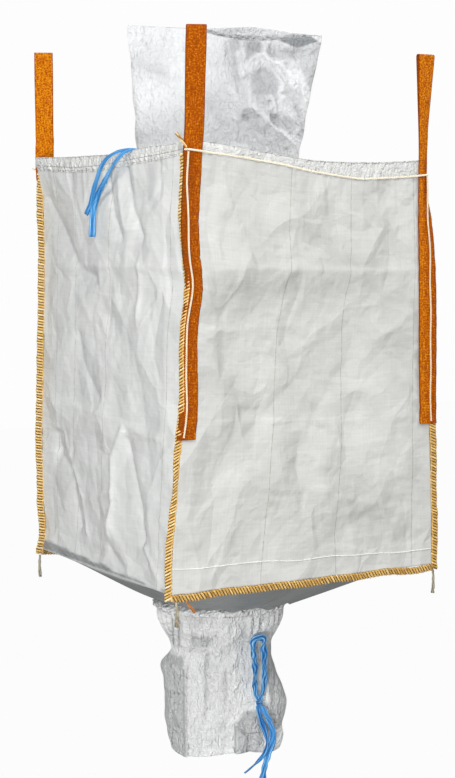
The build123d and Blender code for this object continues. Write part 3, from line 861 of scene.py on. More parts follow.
def hem_chain(side):
    """Chain stitch along the foot of a side panel's hem, which climbs over the webbing at both ends."""
    a = np.linspace(-HALF - 0.017, HALF + 0.014, 190)
    inside = np.clip(a, -HALF, HALF)
    level = hem_stitch(side, inside)
    face = hem_face(side, inside, hem_top(side, inside) - level)
    on_webbing = smooth((np.abs(a) - (HALF - 0.050)) / 0.008)
    out = face * (1 - on_webbing) + 0.0070 * on_webbing
    past = np.clip(np.abs(a) - HALF, 0, None)
    left, right = ("front_left", "front_right") if side == "front" else ("back_right", "back_left")
    bend = np.where(a < 0, through(level, *BENDS[left]), through(level, *BENDS[right]))
    along = np.sign(a) * (np.minimum(np.abs(a), HALF) + past * np.cos(bend))
    path = settle(on_wall(side, along, out - past * np.sin(bend), level))
    stitches = chained(path, outward(side, len(a)), CHAIN_PITCH, 0.0021, 0.0016, -0.15)
    make("hem_chain_thread_" + side, stitches, CREAM, ["hem_chain_" + side])


def hem_rows(side):
    """Two rows of lock stitch at the foot of a u panel hem. The thread dips between stitches 6 mm long."""
    rows = []
    for rise in (0.0, 0.011):
        a = np.linspace(-HALF + 0.004, HALF - 0.004, 900)
        drop = hem_top(side, a) - hem_stitch(side, a) - rise
        out = hem_face(side, a, drop) + 0.0003 + 0.0005 * np.cos(2 * np.pi * a / 0.006)
        path = settle(on_wall(side, a, out, hem_top(side, a) - drop))
        rows.append(thread(path, 0.0007, outward(side, len(a)), 4))
    make("hem_thread_rows_" + side, joined(rows), GREY, ["hem_rows_" + side])


# ---------------------------------------------------------------- webbing and corner seams

# How far what lies past each corner line turns back round it, radians by level: flange and webbing alike
BENDS = {
    "front_left": ([-1.67, -1.46, -1.41, -1.35, -1.29, -1.22, -0.46, -0.33, -0.18, -0.01],
                   [0.57, 0.57, 0.40, -0.42, -0.25, 0.35, 0.57, 0.50, 0.12, 0.0]),
    "front_right": ([-1.67, -0.68, -0.57, -0.45, -0.36, -0.16, -0.01],
                    [-0.22, -0.22, 0.12, 1.02, 1.08, 0.50, 0.0]),
    "back_left": ([-1.67, -0.55, -0.33, -0.16, -0.01], [-0.10, -0.08, 0.15, 0.1, 0.0]),
    "back_right": ([-1.67, -0.90, -0.36, -0.16, -0.01], [0.30, 0.50, 0.60, 0.2, 0.0]),
}
# The free loops by level: turn about their own upright, and how much their width is drawn together
LOOPS = {
    "front_left": ([-1.25, -0.35, -0.20, -0.01], [0.0, -0.04, -0.25, -0.48], [1.0, 1.0, 1.0, 1.0]),
    "front_right": ([-1.25, -0.62, -0.44, -0.35, -0.14, -0.03], [0.0, 0.0, 0.0, 0.03, 0.10, 0.14],
                    [1.0, 1.0, 0.80, 0.76, 0.92, 1.0]),
    "back_left": ([-1.25, -0.42, -0.36, -0.01], [0.0, 0.0, 0.46, 0.50], [1.0, 1.0, 1.0, 1.0]),
    "back_right": ([-1.25, -0.36, -0.20, -0.01], [0.0, 0.0, -0.12, -0.30], [1.0, 1.0, 0.94, 1.0]),
}
# Where each free loop starts and its bend has its middle, and how much darker than plain its webbing is
# painted: painted light and shade for how light falls on that loop
LOOP_FOOT = {"front_left": -0.322, "front_right": -0.352, "back_left": -0.336, "back_right": -0.345}
LOOP_TOP = {"front_left": -0.001, "front_right": -0.036, "back_left": 0.002, "back_right": -0.012}
LOOP_LIGHTING = {"front_left": 0.03, "front_right": -0.04, "back_left": -0.16, "back_right": -0.05}
# Each corner's overlocked flange: level of its top, width, how far its bars lean, and tone
FLANGE_TOP = {"front_left": -0.366, "front_right": -0.415, "back_left": -0.392, "back_right": -0.402}
FLANGE_WIDTH = {"front_left": 0.0175, "front_right": 0.0175, "back_left": 0.0195, "back_right": 0.0175}
FLANGE_SLANT = {"front_left": 0.007, "front_right": 0.006, "back_left": -0.001, "back_right": 0.006}
FLANGE_TONE = {"front_left": 0.26, "front_right": 0.34, "back_left": -0.04, "back_right": 0.26}


def at_corner(corner, along, out, z):
    """Points near a corner: along past the corner line, away from the side panel; out from its plane."""
    side_x, side_y = CORNERS[corner]
    along, out, z = np.broadcast_arrays(along, out, z)
    return np.stack([side_x * (HALF + along), side_y * (HALF + out), z], axis=-1)


def bent_back(corner, along, out, z):
    """What lies past the corner line turns back round it, with the flange."""
    past = np.clip(along, 0, None)
    turn = through(z, *BENDS[corner])
    return np.where(along > 0, past * np.cos(turn), along), out - past * np.sin(turn)


def strap(corner):
    """Webbing of one loop, 60 mm wide: a rounded strip carried up the outside of the sewn leg, along the
    outer ply of the free loop, over the bend, and back down inside. Past the corner line it bends back
    with the flange, less and less towards the bend, while the free loop turns about its own upright."""
    thick, wide = 0.0025, 0.060
    middle, inner_edge = 0.0028, -0.042
    centre = inner_edge + wide / 2
    foot, radius, top = LOOP_FOOT[corner], 0.0078, LOOP_TOP[corner]
    sewn_rows, free_rows, bend_rows = 420, 59, 13
    rise = np.linspace(LEG_FOOT, foot, sewn_rows)
    free = np.linspace(0, 1, free_rows + 1)[1:]
    bend = np.linspace(0, np.pi, bend_rows + 2)[1:-1]
    spread = thick / 2 + (radius - thick / 2) * free ** 1.5
    out = np.concatenate([
        np.full(sewn_rows, middle + thick / 2), middle + spread, middle + radius * np.cos(bend),
        (middle - spread)[::-1], np.full(sewn_rows, middle - thick / 2),
    ])
    z_free = foot + (top - foot) * free
    z = np.concatenate([rise, z_free, top + radius * np.sin(bend), z_free[::-1], rise[::-1]])
    step_out, step_z = np.gradient(out), np.gradient(z)
    long = np.hypot(step_out, step_z)
    square = np.stack([step_z / long, -step_out / long], -1)
    turn = np.linspace(0, 2 * np.pi, 21)[:-1] + np.pi / 20
    edge = np.sign(np.cos(turn)) * np.abs(np.cos(turn)) ** 0.35 * wide / 2
    face = np.sign(np.sin(turn)) * np.abs(np.sin(turn)) ** 0.45 * thick / 2
    uneven = 1 + 0.010 * ripple(z, 4, 0.05, 0.3, 8)
    along = centre + edge[None, :] * uneven[:, None]
    level = z[:, None] + face[None, :] * square[:, 1:]
    sewn = 1 - smooth((z - foot + 0.02) / 0.03)
    dips = (0.0006 * ripple(z, 5, 0.02, 0.09, 4) * sewn)[:, None]
    bow = 0.0012 * ripple(z, 3, 0.10, 0.3, 12)[:, None] * (1 - (edge[None, :] / wide * 2) ** 2)
    off = out[:, None] + face[None, :] * square[:, :1] + dips + bow * (1 - sewn[:, None])
    levels, turns, widths = LOOPS[corner]
    flat = along * through(z, levels, widths)[:, None]
    if corner == "back_left":  # tucked in behind the left wall, below the hem
        tucked = np.minimum(flat, -0.005 + 0.1 * np.clip(flat + 0.005, 0, None))
        flat = np.where(z[:, None] < -0.42, tucked, flat)
    flat, off = bent_back(corner, flat, off, z[:, None])
    twist = through(z, levels, turns)
    c, s = np.cos(twist)[:, None], np.sin(twist)[:, None]
    shift = flat - centre
    flat, off = centre + shift * c - (off - middle) * s, middle + shift * s + (off - middle) * c
    followed = np.where(z > -0.465, np.maximum(z, -0.30), z) if corner == "back_left" else z
    points = settle(at_corner(corner, flat, off, level), followed[:, None])
    girth = distances(np.stack([edge, face], -1))
    uv = spread_uv(np.append(girth, girth[-1] + 0.002)[None, :], distances(np.stack([out, z], -1))[:, None])
    side_x, side_y = CORNERS[corner]
    # Painted shade, in bars, on what bends back past the corner line below the hem
    bars = 0.10 + 0.07 * np.sin(2 * np.pi * (z[:, None] + 0.5 * along) / 0.0085)
    brown = bars * smooth((along - 0.001) / 0.003) * smooth((-0.33 - z) / 0.05)[:, None]
    selvedge = 0.12 * (np.abs(along - centre) > wide * 0.46)
    # Painted shade on the inner ply of the loop
    outer_rows = sewn_rows + free_rows + (bend_rows + 1) // 2
    inner_ply_shade = np.where(np.arange(len(z)) < outer_rows, 0.0, 0.10)[:, None]
    shape = patch(points, uv, around=True, ends=True, flip=side_x * side_y > 0,
                  tone=brown + selvedge + inner_ply_shade + LOOP_LIGHTING[corner])
    piece = make("webbing_" + corner, shape, WEBBING,
                 ["lifting_loop_" + corner, "loop_leg_" + corner], body=None)
    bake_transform(piece)


def leg_thread(corner):
    """Chain stitch down the corner line through both plies of the webbing and the flange."""
    head = -0.362 if corner.endswith("left") else hem_stitch("front", 0.45) - 0.004
    z = np.linspace(LEG_FOOT + 0.008, head, 140)
    weave = 0.0014 * ripple(z, 4, 0.08, 0.4, 6)
    drawn = 0.009 * smooth((z + 0.62) / 0.24) if corner == "front_left" else 0.0
    path = settle(at_corner(corner, *bent_back(corner, -0.002 + weave + drawn, 0.0066, z), z))
    side_y = CORNERS[corner][1]
    facing = np.broadcast_to(np.array([0.0, side_y, 0.0]), path.shape)
    make("leg_chain_thread_" + corner, chained(path, facing, CHAIN_PITCH, 0.0021, 0.0014, 0.05), CREAM,
         ["leg_stitch_" + corner])


def wound(line, right, up, width, thick, pitch, slant, start, radius, tones, seed):
    """Overlock thread: it goes round a flat oval once in each pitch, from the seam to the edge on the near
    face and back on the far one. slant leans its bars: the edge end lies that far ahead of the seam end.
    tones are the tone of its bars, their unevenness, and what is added on the far face."""
    steps = distances(line)
    at = np.linspace(0.002, steps[-1] - 0.002, int(steps[-1] / pitch * 14))
    phase = 2 * np.pi * at / pitch + start + 0.5 * ripple(at, 5, 0.02, 0.12, seed)
    reach = -np.cos(phase)
    reach = np.sign(reach) * np.abs(reach) ** 0.8
    lift = np.sin(phase)
    lift = np.sign(lift) * np.abs(lift) ** 0.40
    along = np.clip(at + slant * reach / 2, 0, steps[-1])
    fine, side, face = (at_distances(along, steps, values) for values in (line, right, up))
    jitter = 1 + 0.07 * ripple(at, 6, 0.010, 0.06, seed + 1)
    half = width / 2
    path = fine + side * (half + (half + 0.0008) * reach * jitter)[:, None]
    path = path + face * ((thick / 2 + 0.5 * radius) * lift)[:, None]
    tone = tones[0] + tones[1] * ripple(at, 4, 0.004, 0.03, seed + 2) + tones[2] * smooth(0.4 - 0.8 * lift)
    own_right, own_up = frames(path, face * np.where(lift >= 0, 1.0, -1.0)[:, None] + 0.01 * side)
    return carried(path, own_right, own_up, round_profile(radius, 6, 0.7), tone=tone[:, None])


def overlocked(line, sideways, facing, width, thick, pitch, slant, seed, tone):
    """Flange edge with its overlock: a flat strip of cloth, a thick gold thread wound round it and a thin
    brown one that lies in its gaps."""
    wave = 1 + 0.04 * ripple(distances(line), 5, 0.015, 0.09, seed)
    turn = np.linspace(0, 2 * np.pi, 12, endpoint=False)
    half = width / 2
    shape = np.stack([half + half * 0.94 * np.sign(np.cos(turn)) * np.abs(np.cos(turn)) ** 0.5,
                      -thick / 2 * np.sign(np.sin(turn)) * np.abs(np.sin(turn)) ** 0.6], -1)
    strip = carried(line, sideways, facing, shape, grow=wave)
    gold = wound(line, sideways, facing, width, thick, pitch, slant, 0.0, 0.0026, (tone, 0.14, 0.25), seed)
    brown = wound(line, sideways, facing, width, thick, pitch, slant, np.pi, 0.0015, (0.90, 0.06, 0.0), seed)
    return strip, joined([gold, brown])


def corner_seam(corner):
    """Overlocked flange down a corner, bent back round it, with two lines of needle thread along its root
    on both faces. Its width comes in, or at the front left goes out, towards its top."""
    top = FLANGE_TOP[corner]
    z = np.linspace(top, SEAM - 0.016, 300)
    side_x, side_y = CORNERS[corner]
    wiggle = 0.0012 * ripple(z, 5, 0.06, 0.35, 31)
    line = settle(at_corner(corner, 0.0005 + wiggle, -0.0012, z))
    bend = through(z, *BENDS[corner])
    away = np.stack([side_x * np.cos(bend), -side_y * np.sin(bend), 0 * z], -1)
    facing = np.stack([side_x * np.sin(bend), side_y * np.cos(bend), 0 * z], -1)
    first, reach = (1.36, 0.30) if corner == "front_left" else (0.20, 0.08)
    width = first + (1 - first) * smooth((top - z) / reach)
    strip, wrap = overlocked(line, away * width[:, None], facing, FLANGE_WIDTH[corner], 0.0026, 0.0094,
                             FLANGE_SLANT[corner], 41 + side_x + 3 * side_y, FLANGE_TONE[corner])
    make("seam_allowance_" + corner, strip, SEAM_EDGE, ["corner_seam_" + corner])
    threads = [wrap]
    for face in (1, -1):
        for off, tone in ((0.0006, 0.30), (0.0034, 0.62)):
            threads.append(thread(line + away * off + facing * face * 0.0024, 0.0011, facing, 6, tone))
    make("overlock_thread_" + corner, joined(threads), OVERLOCK)


def bottom_seam(side):
    """Overlocked flange along the foot of a side panel, hanging down, with its needle thread."""
    a = np.linspace(-HALF, HALF, 200)
    wander = 0.0025 * ripple(a, 4, 0.1, 0.5, 51)
    line = settle(on_wall(side, a, 0.0002, SEAM - 0.0008 + wander))
    facing = outward(side, len(a))
    down = np.broadcast_to(np.array([0.0, 0.0, -1.0]), line.shape)
    strip, wrap = overlocked(line, down, facing, FLANGE, 0.0026, 0.0104, 0.009, 52, 0.36)
    make("bottom_allowance_" + side, strip, SEAM_EDGE, ["bottom_seam_" + side])
    needle = thread(line + facing * 0.0026 + down * 0.001, 0.0012, facing[0], 6, 0.45)
    make("overlock_thread_bottom_" + side, joined([wrap, needle]), OVERLOCK)


def bottom_thread(side):
    """Light stitch line just above the bottom seam."""
    a = np.linspace(-HALF + 0.004, HALF - 0.004, 900)
    level = SEAM + 0.036 + (0.026 + 0.002 * ripple(a, 4, 0.1, 0.4, 9)) - 0.014 * (a / HALF)
    out = wall_out(side, a, level) + 0.0010 + 0.0004 * np.cos(2 * np.pi * a / 0.007)
    path = settle(on_wall(side, a, out, level))
    make("bottom_thread_" + side, thread(path, 0.0016, outward(side, len(a)), 5), WHITE,
         ["bottom_stitch_" + side])


# ---------------------------------------------------------------- top panel and fill spout

# The fill spout's two edges and half its depth by level, and the level of its rim by place along it
FILL_LEFT = ([-0.46, -0.317, -0.10, 0.085], [-0.292, -0.298, -0.312, -0.327])
FILL_RIGHT = ([-0.46, -0.323, -0.22, -0.11, -0.029, 0.043, 0.09],
              [0.222, 0.225, 0.245, 0.264, 0.284, 0.294, 0.297])
FILL_DEPTH = ([-0.46, -0.35, -0.15, 0.0, 0.08], [0.132, 0.118, 0.070, 0.030, 0.012])
FILL_RIM_FRONT = ([-0.33, -0.19, -0.10, -0.02, 0.04, 0.145, 0.24, 0.30],
                  [0.085, 0.076, 0.068, 0.047, 0.034, 0.030, 0.042, 0.050])
FILL_RIM_BACK = ([-0.33, -0.02, 0.088, 0.20, 0.30], [0.085, 0.076, 0.079, 0.062, 0.050])
FILL_FOLDS = creases(
    (0.0120, 0.007, [(0.098, -0.013), (0.137, -0.042), (0.167, -0.055), (0.196, -0.081), (0.206, -0.114)]),
    (0.0070, 0.007, [(0.098, -0.013), (0.127, -0.052), (0.154, -0.091), (0.183, -0.123)]),
    (-0.0110, 0.022, [(0.095, -0.070), (0.115, -0.130), (0.130, -0.175)]),
    (0.0100, 0.007, [(0.095, -0.016), (0.065, -0.036), (0.039, -0.091)]),
    (-0.0090, 0.008, [(-0.010, 0.022), (-0.003, -0.033), (0.020, -0.097), (0.026, -0.146)]),
    (-0.0100, 0.018, [(0.043, 0.012), (0.108, 0.008)]),
    (-0.0260, 0.022, [(0.120, -0.004), (0.200, -0.010), (0.290, -0.016)]),
    (0.0080, 0.006, [(0.163, -0.125), (0.163, -0.241)]),
    (-0.0060, 0.007, [(0.150, -0.125), (0.147, -0.235)]),
    (0.0100, 0.008, [(0.206, -0.090), (0.240, -0.120), (0.262, -0.180)]),
    (-0.0080, 0.008, [(0.180, -0.140), (0.215, -0.200), (0.235, -0.280)]),
    (0.0090, 0.007, [(0.095, -0.105), (0.135, -0.160), (0.150, -0.215)]),
    (-0.0080, 0.008, [(0.110, -0.095), (0.085, -0.160), (0.090, -0.230)]),
    (0.0150, 0.013, [(0.062, -0.186), (0.143, -0.258), (0.225, -0.323)]),
    (-0.0080, 0.012, [(0.040, -0.215), (0.110, -0.290)]),
    (0.0060, 0.012, [(0.055, -0.100), (0.060, -0.180)]),
    (-0.0080, 0.014, [(0.20, -0.16), (0.23, -0.26)]),
    (0.0090, 0.009, [(0.225, -0.06), (0.245, -0.20)]),
    (0.0080, 0.007, [(0.207, -0.060), (0.222, -0.085), (0.214, -0.125)]),
    (-0.0050, 0.030, [(-0.30, -0.03), (-0.20, -0.08)]),
    (0.0040, 0.030, [(-0.26, -0.12), (-0.10, -0.16)]),
)


def shaded_areas(side, z, areas):
    """Painted shade over areas of pockets and folds: each area is a convex run of corners, with a soft edge.
    """
    grey = np.zeros(np.broadcast(side, z).shape)
    for much, soft, corners in areas:
        inside = np.ones_like(grey)
        edges = list(zip(corners, corners[1:] + corners[:1]))
        turned = np.sign(sum(x1 * y2 - x2 * y1 for (x1, y1), (x2, y2) in edges))
        for (x1, y1), (x2, y2) in edges:
            d = ((z - y1) * (x2 - x1) - (side - x1) * (y2 - y1)) / math.hypot(x2 - x1, y2 - y1)
            inside *= smooth((d * turned + soft) / (2 * soft))
        grey = np.maximum(grey, much * inside)
    return grey


# Painted shade on the front of the fill spout: how grey, softness of the edge, corners as (side, level)
FILL_SHADE = [
    (0.80, 0.004, [(0.049, 0.030), (0.098, 0.030), (0.098, 0.075), (0.049, 0.075)]),
    (0.60, 0.003, [(0.028, 0.040), (0.036, 0.040), (0.036, 0.080), (0.028, 0.080)]),
    (0.85, 0.004, [(0.150, 0.032), (0.215, 0.006), (0.284, 0.029), (0.258, 0.047), (0.202, 0.041)]),
    (0.38, 0.010, [(-0.003, 0.050), (0.034, 0.050), (0.036, -0.110), (0.022, -0.120), (-0.001, -0.030)]),
    (0.55, 0.007, [(0.049, 0.029), (0.100, 0.029), (0.098, -0.013), (0.061, -0.050), (0.049, -0.050)]),
    (0.45, 0.014, [(0.067, -0.063), (0.100, -0.045), (0.156, -0.080), (0.163, -0.152), (0.067, -0.152)]),
    (0.38, 0.016, [(0.215, 0.006), (0.300, 0.030), (0.280, -0.160), (0.215, -0.160)]),
    (0.30, 0.014, [(0.100, -0.010), (0.150, 0.020), (0.205, 0.004), (0.200, -0.070), (0.137, -0.035)]),
    (0.30, 0.020, [(0.060, -0.200), (0.190, -0.170), (0.250, -0.300), (0.150, -0.330)]),
    (0.22, 0.030, [(0.020, -0.020), (0.300, 0.030), (0.270, -0.350), (0.050, -0.350)]),
]
# Painted shade on the front of the discharge spout, along pleat edges and in pockets: how grey, softness of
# the edge, corners as (side, level)
DISCHARGE_SHADE = [
    (0.42, 0.006, [(-0.230, -1.960), (-0.140, -1.960), (-0.137, -2.300), (-0.230, -2.300)]),
    (0.46, 0.006, [(0.024, -2.170), (0.050, -2.130), (0.106, -2.130), (0.106, -2.320), (0.024, -2.320)]),
    (0.40, 0.006, [(-0.116, -1.920), (-0.055, -1.920), (-0.055, -1.879), (-0.116, -1.879)]),
    (0.38, 0.005, [(0.126, -1.930), (0.180, -1.930), (0.180, -2.200), (0.126, -2.200)]),
    (0.62, 0.004, [(-0.143, -2.000), (-0.136, -1.990), (-0.131, -2.310), (-0.142, -2.310)]),
    (0.70, 0.003, [(0.019, -2.169), (0.026, -2.169), (0.027, -2.320), (0.020, -2.320)]),
    (0.70, 0.003, [(-0.176, -1.925), (-0.170, -1.925), (-0.168, -1.825), (-0.174, -1.825)]),
    (0.60, 0.003, [(-0.158, -1.930), (-0.152, -1.930), (-0.147, -1.825), (-0.153, -1.825)]),
    (0.60, 0.003, [(-0.190, -2.120), (-0.183, -2.120), (-0.150, -2.190), (-0.156, -2.196)]),
    (0.60, 0.003, [(0.128, -1.935), (0.134, -1.935), (0.148, -2.060), (0.142, -2.062)]),
    (0.55, 0.003, [(0.150, -2.050), (0.156, -2.052), (0.146, -2.230), (0.140, -2.228)]),
]


def top_level(x, y):
    """The top panel hangs from the hems' feet and dips to its middle."""
    along, deep = across(x), across(y)
    return HEM - 0.036 - 0.030 * (along + deep - along * deep) - 0.016 * along * deep


def spout_ring(turn, level, left, right, depth):
    """Points of a flattened ring, and their place along it: that runs from left to right as the turn goes
    half round the front."""
    turn, level = np.broadcast_arrays(turn, level)
    middle, half = (right + left) / 2, (right - left) / 2
    side = middle - half * np.cos(turn)
    near = depth * np.sin(turn)
    points = side[..., None] * ALONG + near[..., None] * NEARER
    points[..., 2] = level
    return side, points


def top_cloth():
    """Top panel in rings of points from the hems to the hole for the fill spout."""
    line = np.linspace(-1, 1, 71)[:-1] * (HALF - 0.0045)
    limit = np.full(len(line), HALF - 0.0045)
    edge = np.concatenate([
        np.stack([-limit, -line], -1), np.stack([line, -limit], -1),
        np.stack([limit, line], -1), np.stack([-line, limit], -1),
    ])
    heading = np.arctan2(edge @ NEARER[:2], edge @ ALONG[:2])
    _, hole = spout_ring(np.pi - heading, 0.0, -0.288, 0.222, 0.133)
    inward = np.linspace(0, 1, 34)[:, None, None]
    flat = edge[None] + (hole[:, :2] - edge)[None] * inward
    x, y = flat[..., 0], flat[..., 1]
    swell = 1 + 0.010 * smooth(1 - inward[..., 0] * 3)
    level = top_level(x, y) + 0.4 * folded(x, y, TOP_FOLDS) * smooth(inward[..., 0] * 6)
    points = settle(np.stack([x * swell, y * swell, level], -1))
    shape = patch(points, wrapped(flat), around=True, flip=True)
    piece = make("top_cloth", shape, TOP_CLOTH, ["top_panel"], thickness=0.001)


TOP_FOLDS = chance_folds(70, (-0.42, 0.42), (-0.42, 0.42), (0.08, 0.35), (0.012, 0.04), (0.10, 0.25),
                         (0.4, 1.5))
FILL_CHANCE = (
    chance_folds(110, (0.02, 0.28), (-0.36, 0.06), (0.02, 0.10), (0.004, 0.012), (0.28, 0.70), (1.2, 0.9))
    + chance_folds(26, (-0.30, 0.02), (-0.36, 0.06), (0.06, 0.20), (0.010, 0.030), (0.06, 0.16), (1.4, 0.9))
)
FILL_BACK = chance_folds(60, (-0.30, 0.27), (-0.40, 0.06), (0.05, 0.20), (0.008, 0.026), (0.10, 0.28),
                         (1.3, 0.8))


def sleeve_uv(side, z, width):
    """The uv of a flattened sleeve: u runs over its front, turns back at width / 2 and runs over its back."""
    half = side.shape[1] // 2
    u = np.concatenate([side[:, :half], width - side[:, half:], side[:, :1]], axis=1)
    return spread_uv(u, wrapped(z))


def fill_cloth():
    """Fill spout: a limp tube whose section goes from an oval at the seam to nearly flat at the mouth.
    Its nearer side is crumpled towards the right, where the lip droops; each side has its own folds."""
    turn = np.linspace(0, 2 * np.pi, 420, endpoint=False)[None, :]
    v = np.linspace(0, 1, 200)[:, None]
    front = np.sin(turn) > 0
    place = -0.30 * np.cos(turn)
    front_rim, back_rim = through(place, *FILL_RIM_FRONT), through(place, *FILL_RIM_BACK)
    soften = smooth(np.abs(np.sin(turn)) / 0.25)
    rim = np.where(front, front_rim, back_rim) * soften + (1 - soften) * (front_rim + back_rim) / 2
    z = rim + (COLLAR_FOOT + 0.004 - rim) * v
    side, points = spout_ring(turn, z, through(z, *FILL_LEFT), through(z, *FILL_RIGHT),
                              through(z, *FILL_DEPTH))
    open_mouth = 0.020 * smooth((side + 0.02) / 0.12) * smooth((z + 0.10) / 0.14)
    open_mouth = open_mouth * np.clip(np.sin(turn), 0, 1) ** 0.8
    away = np.clip(np.abs(np.sin(turn)) * 1.6, 0, 1)
    low = smooth((z - COLLAR_FOOT - 0.02) / 0.06)
    relief = np.where(front, folded(side, z, FILL_FOLDS + FILL_CHANCE, 0.001), -folded(side, z, FILL_BACK))
    edge_fold = 0.0015 * ripple(z, 5, 0.04, 0.2, 61) * (1 - away) * np.sign(-np.cos(turn))
    points = points + NEARER * ((relief * away + open_mouth) * low)[..., None]
    points = settle(points + ALONG * (edge_fold * low)[..., None], HEM)
    # Painted shade in the hollows and areas of the front, taken off the crests so they read as painted
    # highlights
    hollows = 0.35 * np.clip(-relief, 0, 0.010) / 0.010
    crests = np.clip(relief / 0.008, 0, 1)
    shade = np.where(front, np.maximum(shaded_areas(side, z, FILL_SHADE), hollows) * (1 - crests) ** 2, 0.0)
    shape = patch(points, sleeve_uv(side, z, 0.6), around=True, tone=shade)
    piece = make("fill_spout_cloth", shape, FILL_CLOTH, ["fill_spout"], body=None,
                 thickness=0.0009)
    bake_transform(piece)


def fill_collar():
    """Gathered seam allowance that stands up round the foot of the fill spout."""
    turn = np.linspace(0, 2 * np.pi, 240, endpoint=False)[None, :]
    v = np.linspace(0, 1, 9)[:, None]
    z = COLLAR_FOOT + 0.026 * (1 - v) + 0.003 * ring_ripple(turn, 6, 8, 30, 71) * (1 - v)
    _, points = spout_ring(turn, z, -0.296, 0.226, 0.137)
    out = unit(points * [1, 1, 0])
    points = settle(points + out * (0.0035 + 0.002 * ring_ripple(turn, 8, 20, 60, 72))[..., None], HEM)
    shape = patch(points, spread_uv(np.linspace(0, 1.3, 241)[None, :], z[:, :1]), around=True)
    make("fill_collar_cloth", shape, FILL_CLOTH, ["fill_collar"], thickness=0.0018)


# ---------------------------------------------------------------- discharge spout

# The discharge spout's two edges and half its depth, by level
SPOUT_LEFT = ([-2.30, -2.25, -2.186, -2.12, -2.055, -1.99, -1.95, -1.924, -1.859, -1.80],
              [-0.178, -0.188, -0.203, -0.205, -0.208, -0.214, -0.185, -0.188, -0.220, -0.232])
SPOUT_RIGHT = ([-2.30, -2.25, -2.186, -2.12, -2.055, -1.99, -1.95, -1.924, -1.859, -1.80],
               [0.150, 0.168, 0.170, 0.182, 0.162, 0.138, 0.134, 0.134, 0.165, 0.176])
SPOUT_DEPTH = ([-2.30, -2.20, -2.10, -1.98, -1.94, -1.86, -1.80],
               [0.098, 0.100, 0.104, 0.112, 0.122, 0.170, 0.194])
DISCHARGE_FOLDS = creases(
    (-0.0080, 0.010, [(-0.134, -1.985), (-0.138, -2.080), (-0.134, -2.300)]),
    (0.0080, 0.006, [(-0.205, -2.100), (-0.200, -2.101), (-0.152, -2.163), (-0.161, -2.186)]),
    (-0.0100, 0.010, [(-0.175, -1.830), (-0.176, -1.915)]),
    (-0.0100, 0.009, [(-0.161, -1.830), (-0.160, -1.915)]),
    (0.0100, 0.010, [(-0.181, -1.923), (-0.120, -1.921), (-0.061, -1.923), (-0.031, -1.950)]),
    (-0.0120, 0.016, [(-0.110, -1.890), (-0.045, -1.905)]),
    (-0.0090, 0.006, [(-0.069, -1.974), (-0.069, -2.110)]),
    (-0.0080, 0.006, [(-0.003, -1.990), (-0.003, -2.120)]),
    (-0.0090, 0.008, [(0.060, -1.840), (0.050, -1.930)]),
    (-0.0140, 0.014, [(0.055, -2.16), (0.070, -2.30)]),
)
# Pleats: each line lifts what lies to its left, seen along it, by a height over a width, and the lift dies
# away over a reach
DISCHARGE_PLEATS = [
    (0.0200, 0.0030, 0.110, [(-0.127, -2.31), (-0.131, -2.08), (-0.125, -1.985)]),
    (0.0170, 0.0030, 0.080, [(0.0556, -2.130), (0.0206, -2.169), (0.0239, -2.207), (0.0239, -2.31)]),
    (0.0100, 0.0025, 0.040, [(-0.181, -2.31), (-0.184, -2.02)]),
    (0.0090, 0.0025, 0.030, [(-0.140, -2.02), (-0.142, -2.31)]),
    (0.0070, 0.0025, 0.040, [(-0.072, -2.15), (-0.069, -1.955)]),
    (0.0060, 0.0025, 0.040, [(-0.002, -1.960), (-0.004, -2.130)]),
    (0.0130, 0.0025, 0.040, [(0.126, -1.930), (0.124, -2.190)]),
    (0.0110, 0.0025, 0.030, [(0.142, -1.960), (0.152, -2.060), (0.142, -2.230)]),
    (0.0110, 0.0025, 0.025, [(-0.184, -1.925), (-0.180, -1.825)]),
    (0.0100, 0.0025, 0.020, [(-0.168, -1.825), (-0.170, -1.925)]),
    (0.0110, 0.0025, 0.030, [(-0.156, -1.930), (-0.150, -1.825)]),
    (0.0100, 0.0030, 0.050, [(-0.095, -1.885), (-0.060, -1.905), (-0.020, -1.940)]),
    (0.0110, 0.0025, 0.030, [(0.060, -1.825), (0.055, -1.930)]),
]
DISCHARGE_CHANCE = (
    chance_folds(150, (-0.20, 0.16), (-2.28, -1.95), (0.02, 0.13), (0.003, 0.009), (0.18, 0.42), (1.5, 0.45))
    + chance_folds(60, (-0.20, 0.16), (-1.97, -1.81), (0.03, 0.10), (0.004, 0.010), (0.20, 0.45), (1.5, 0.35))
    + chance_folds(70, (-0.19, 0.15), (-2.28, -1.90), (0.02, 0.08), (0.003, 0.008), (0.15, 0.40), (0.0, 0.5))
)
DISCHARGE_BACK = (
    chance_folds(150, (-0.20, 0.16), (-2.28, -1.82), (0.03, 0.16), (0.004, 0.012), (0.20, 0.45), (1.5, 0.5))
    + chance_folds(30, (-0.18, 0.14), (-2.25, -1.86), (0.12, 0.30), (0.009, 0.018), (0.4, 0.8), (1.57, 0.12))
)


def pleated(a, z, pleats):
    """Lift of pleats at (a, z): 0 on the right of a line, high on its left past a rise that is width wide,
    times exp(-distance / reach); it fades out past both ends of the line."""
    lift = np.zeros(np.broadcast(a, z).shape)
    for high, width, reach, points in pleats:
        for number, ((a1, z1), (a2, z2)) in enumerate(zip(points, points[1:])):
            da, dz = a2 - a1, z2 - z1
            long = math.hypot(da, dz)
            t = ((a - a1) * da + (z - z1) * dz) / long ** 2
            d = ((z - z1) * da - (a - a1) * dz) / long
            first, last = number == 0, number == len(points) - 2
            begin = smooth((t + 0.15) / 0.30) if first else (t > 0)
            end = smooth((1.15 - t) / 0.30) if last else (t <= 1)
            rise = smooth((d + width) / (2 * width)) * np.exp(-np.clip(d, 0, None) / reach)
            lift += high * rise * begin * end
    return lift


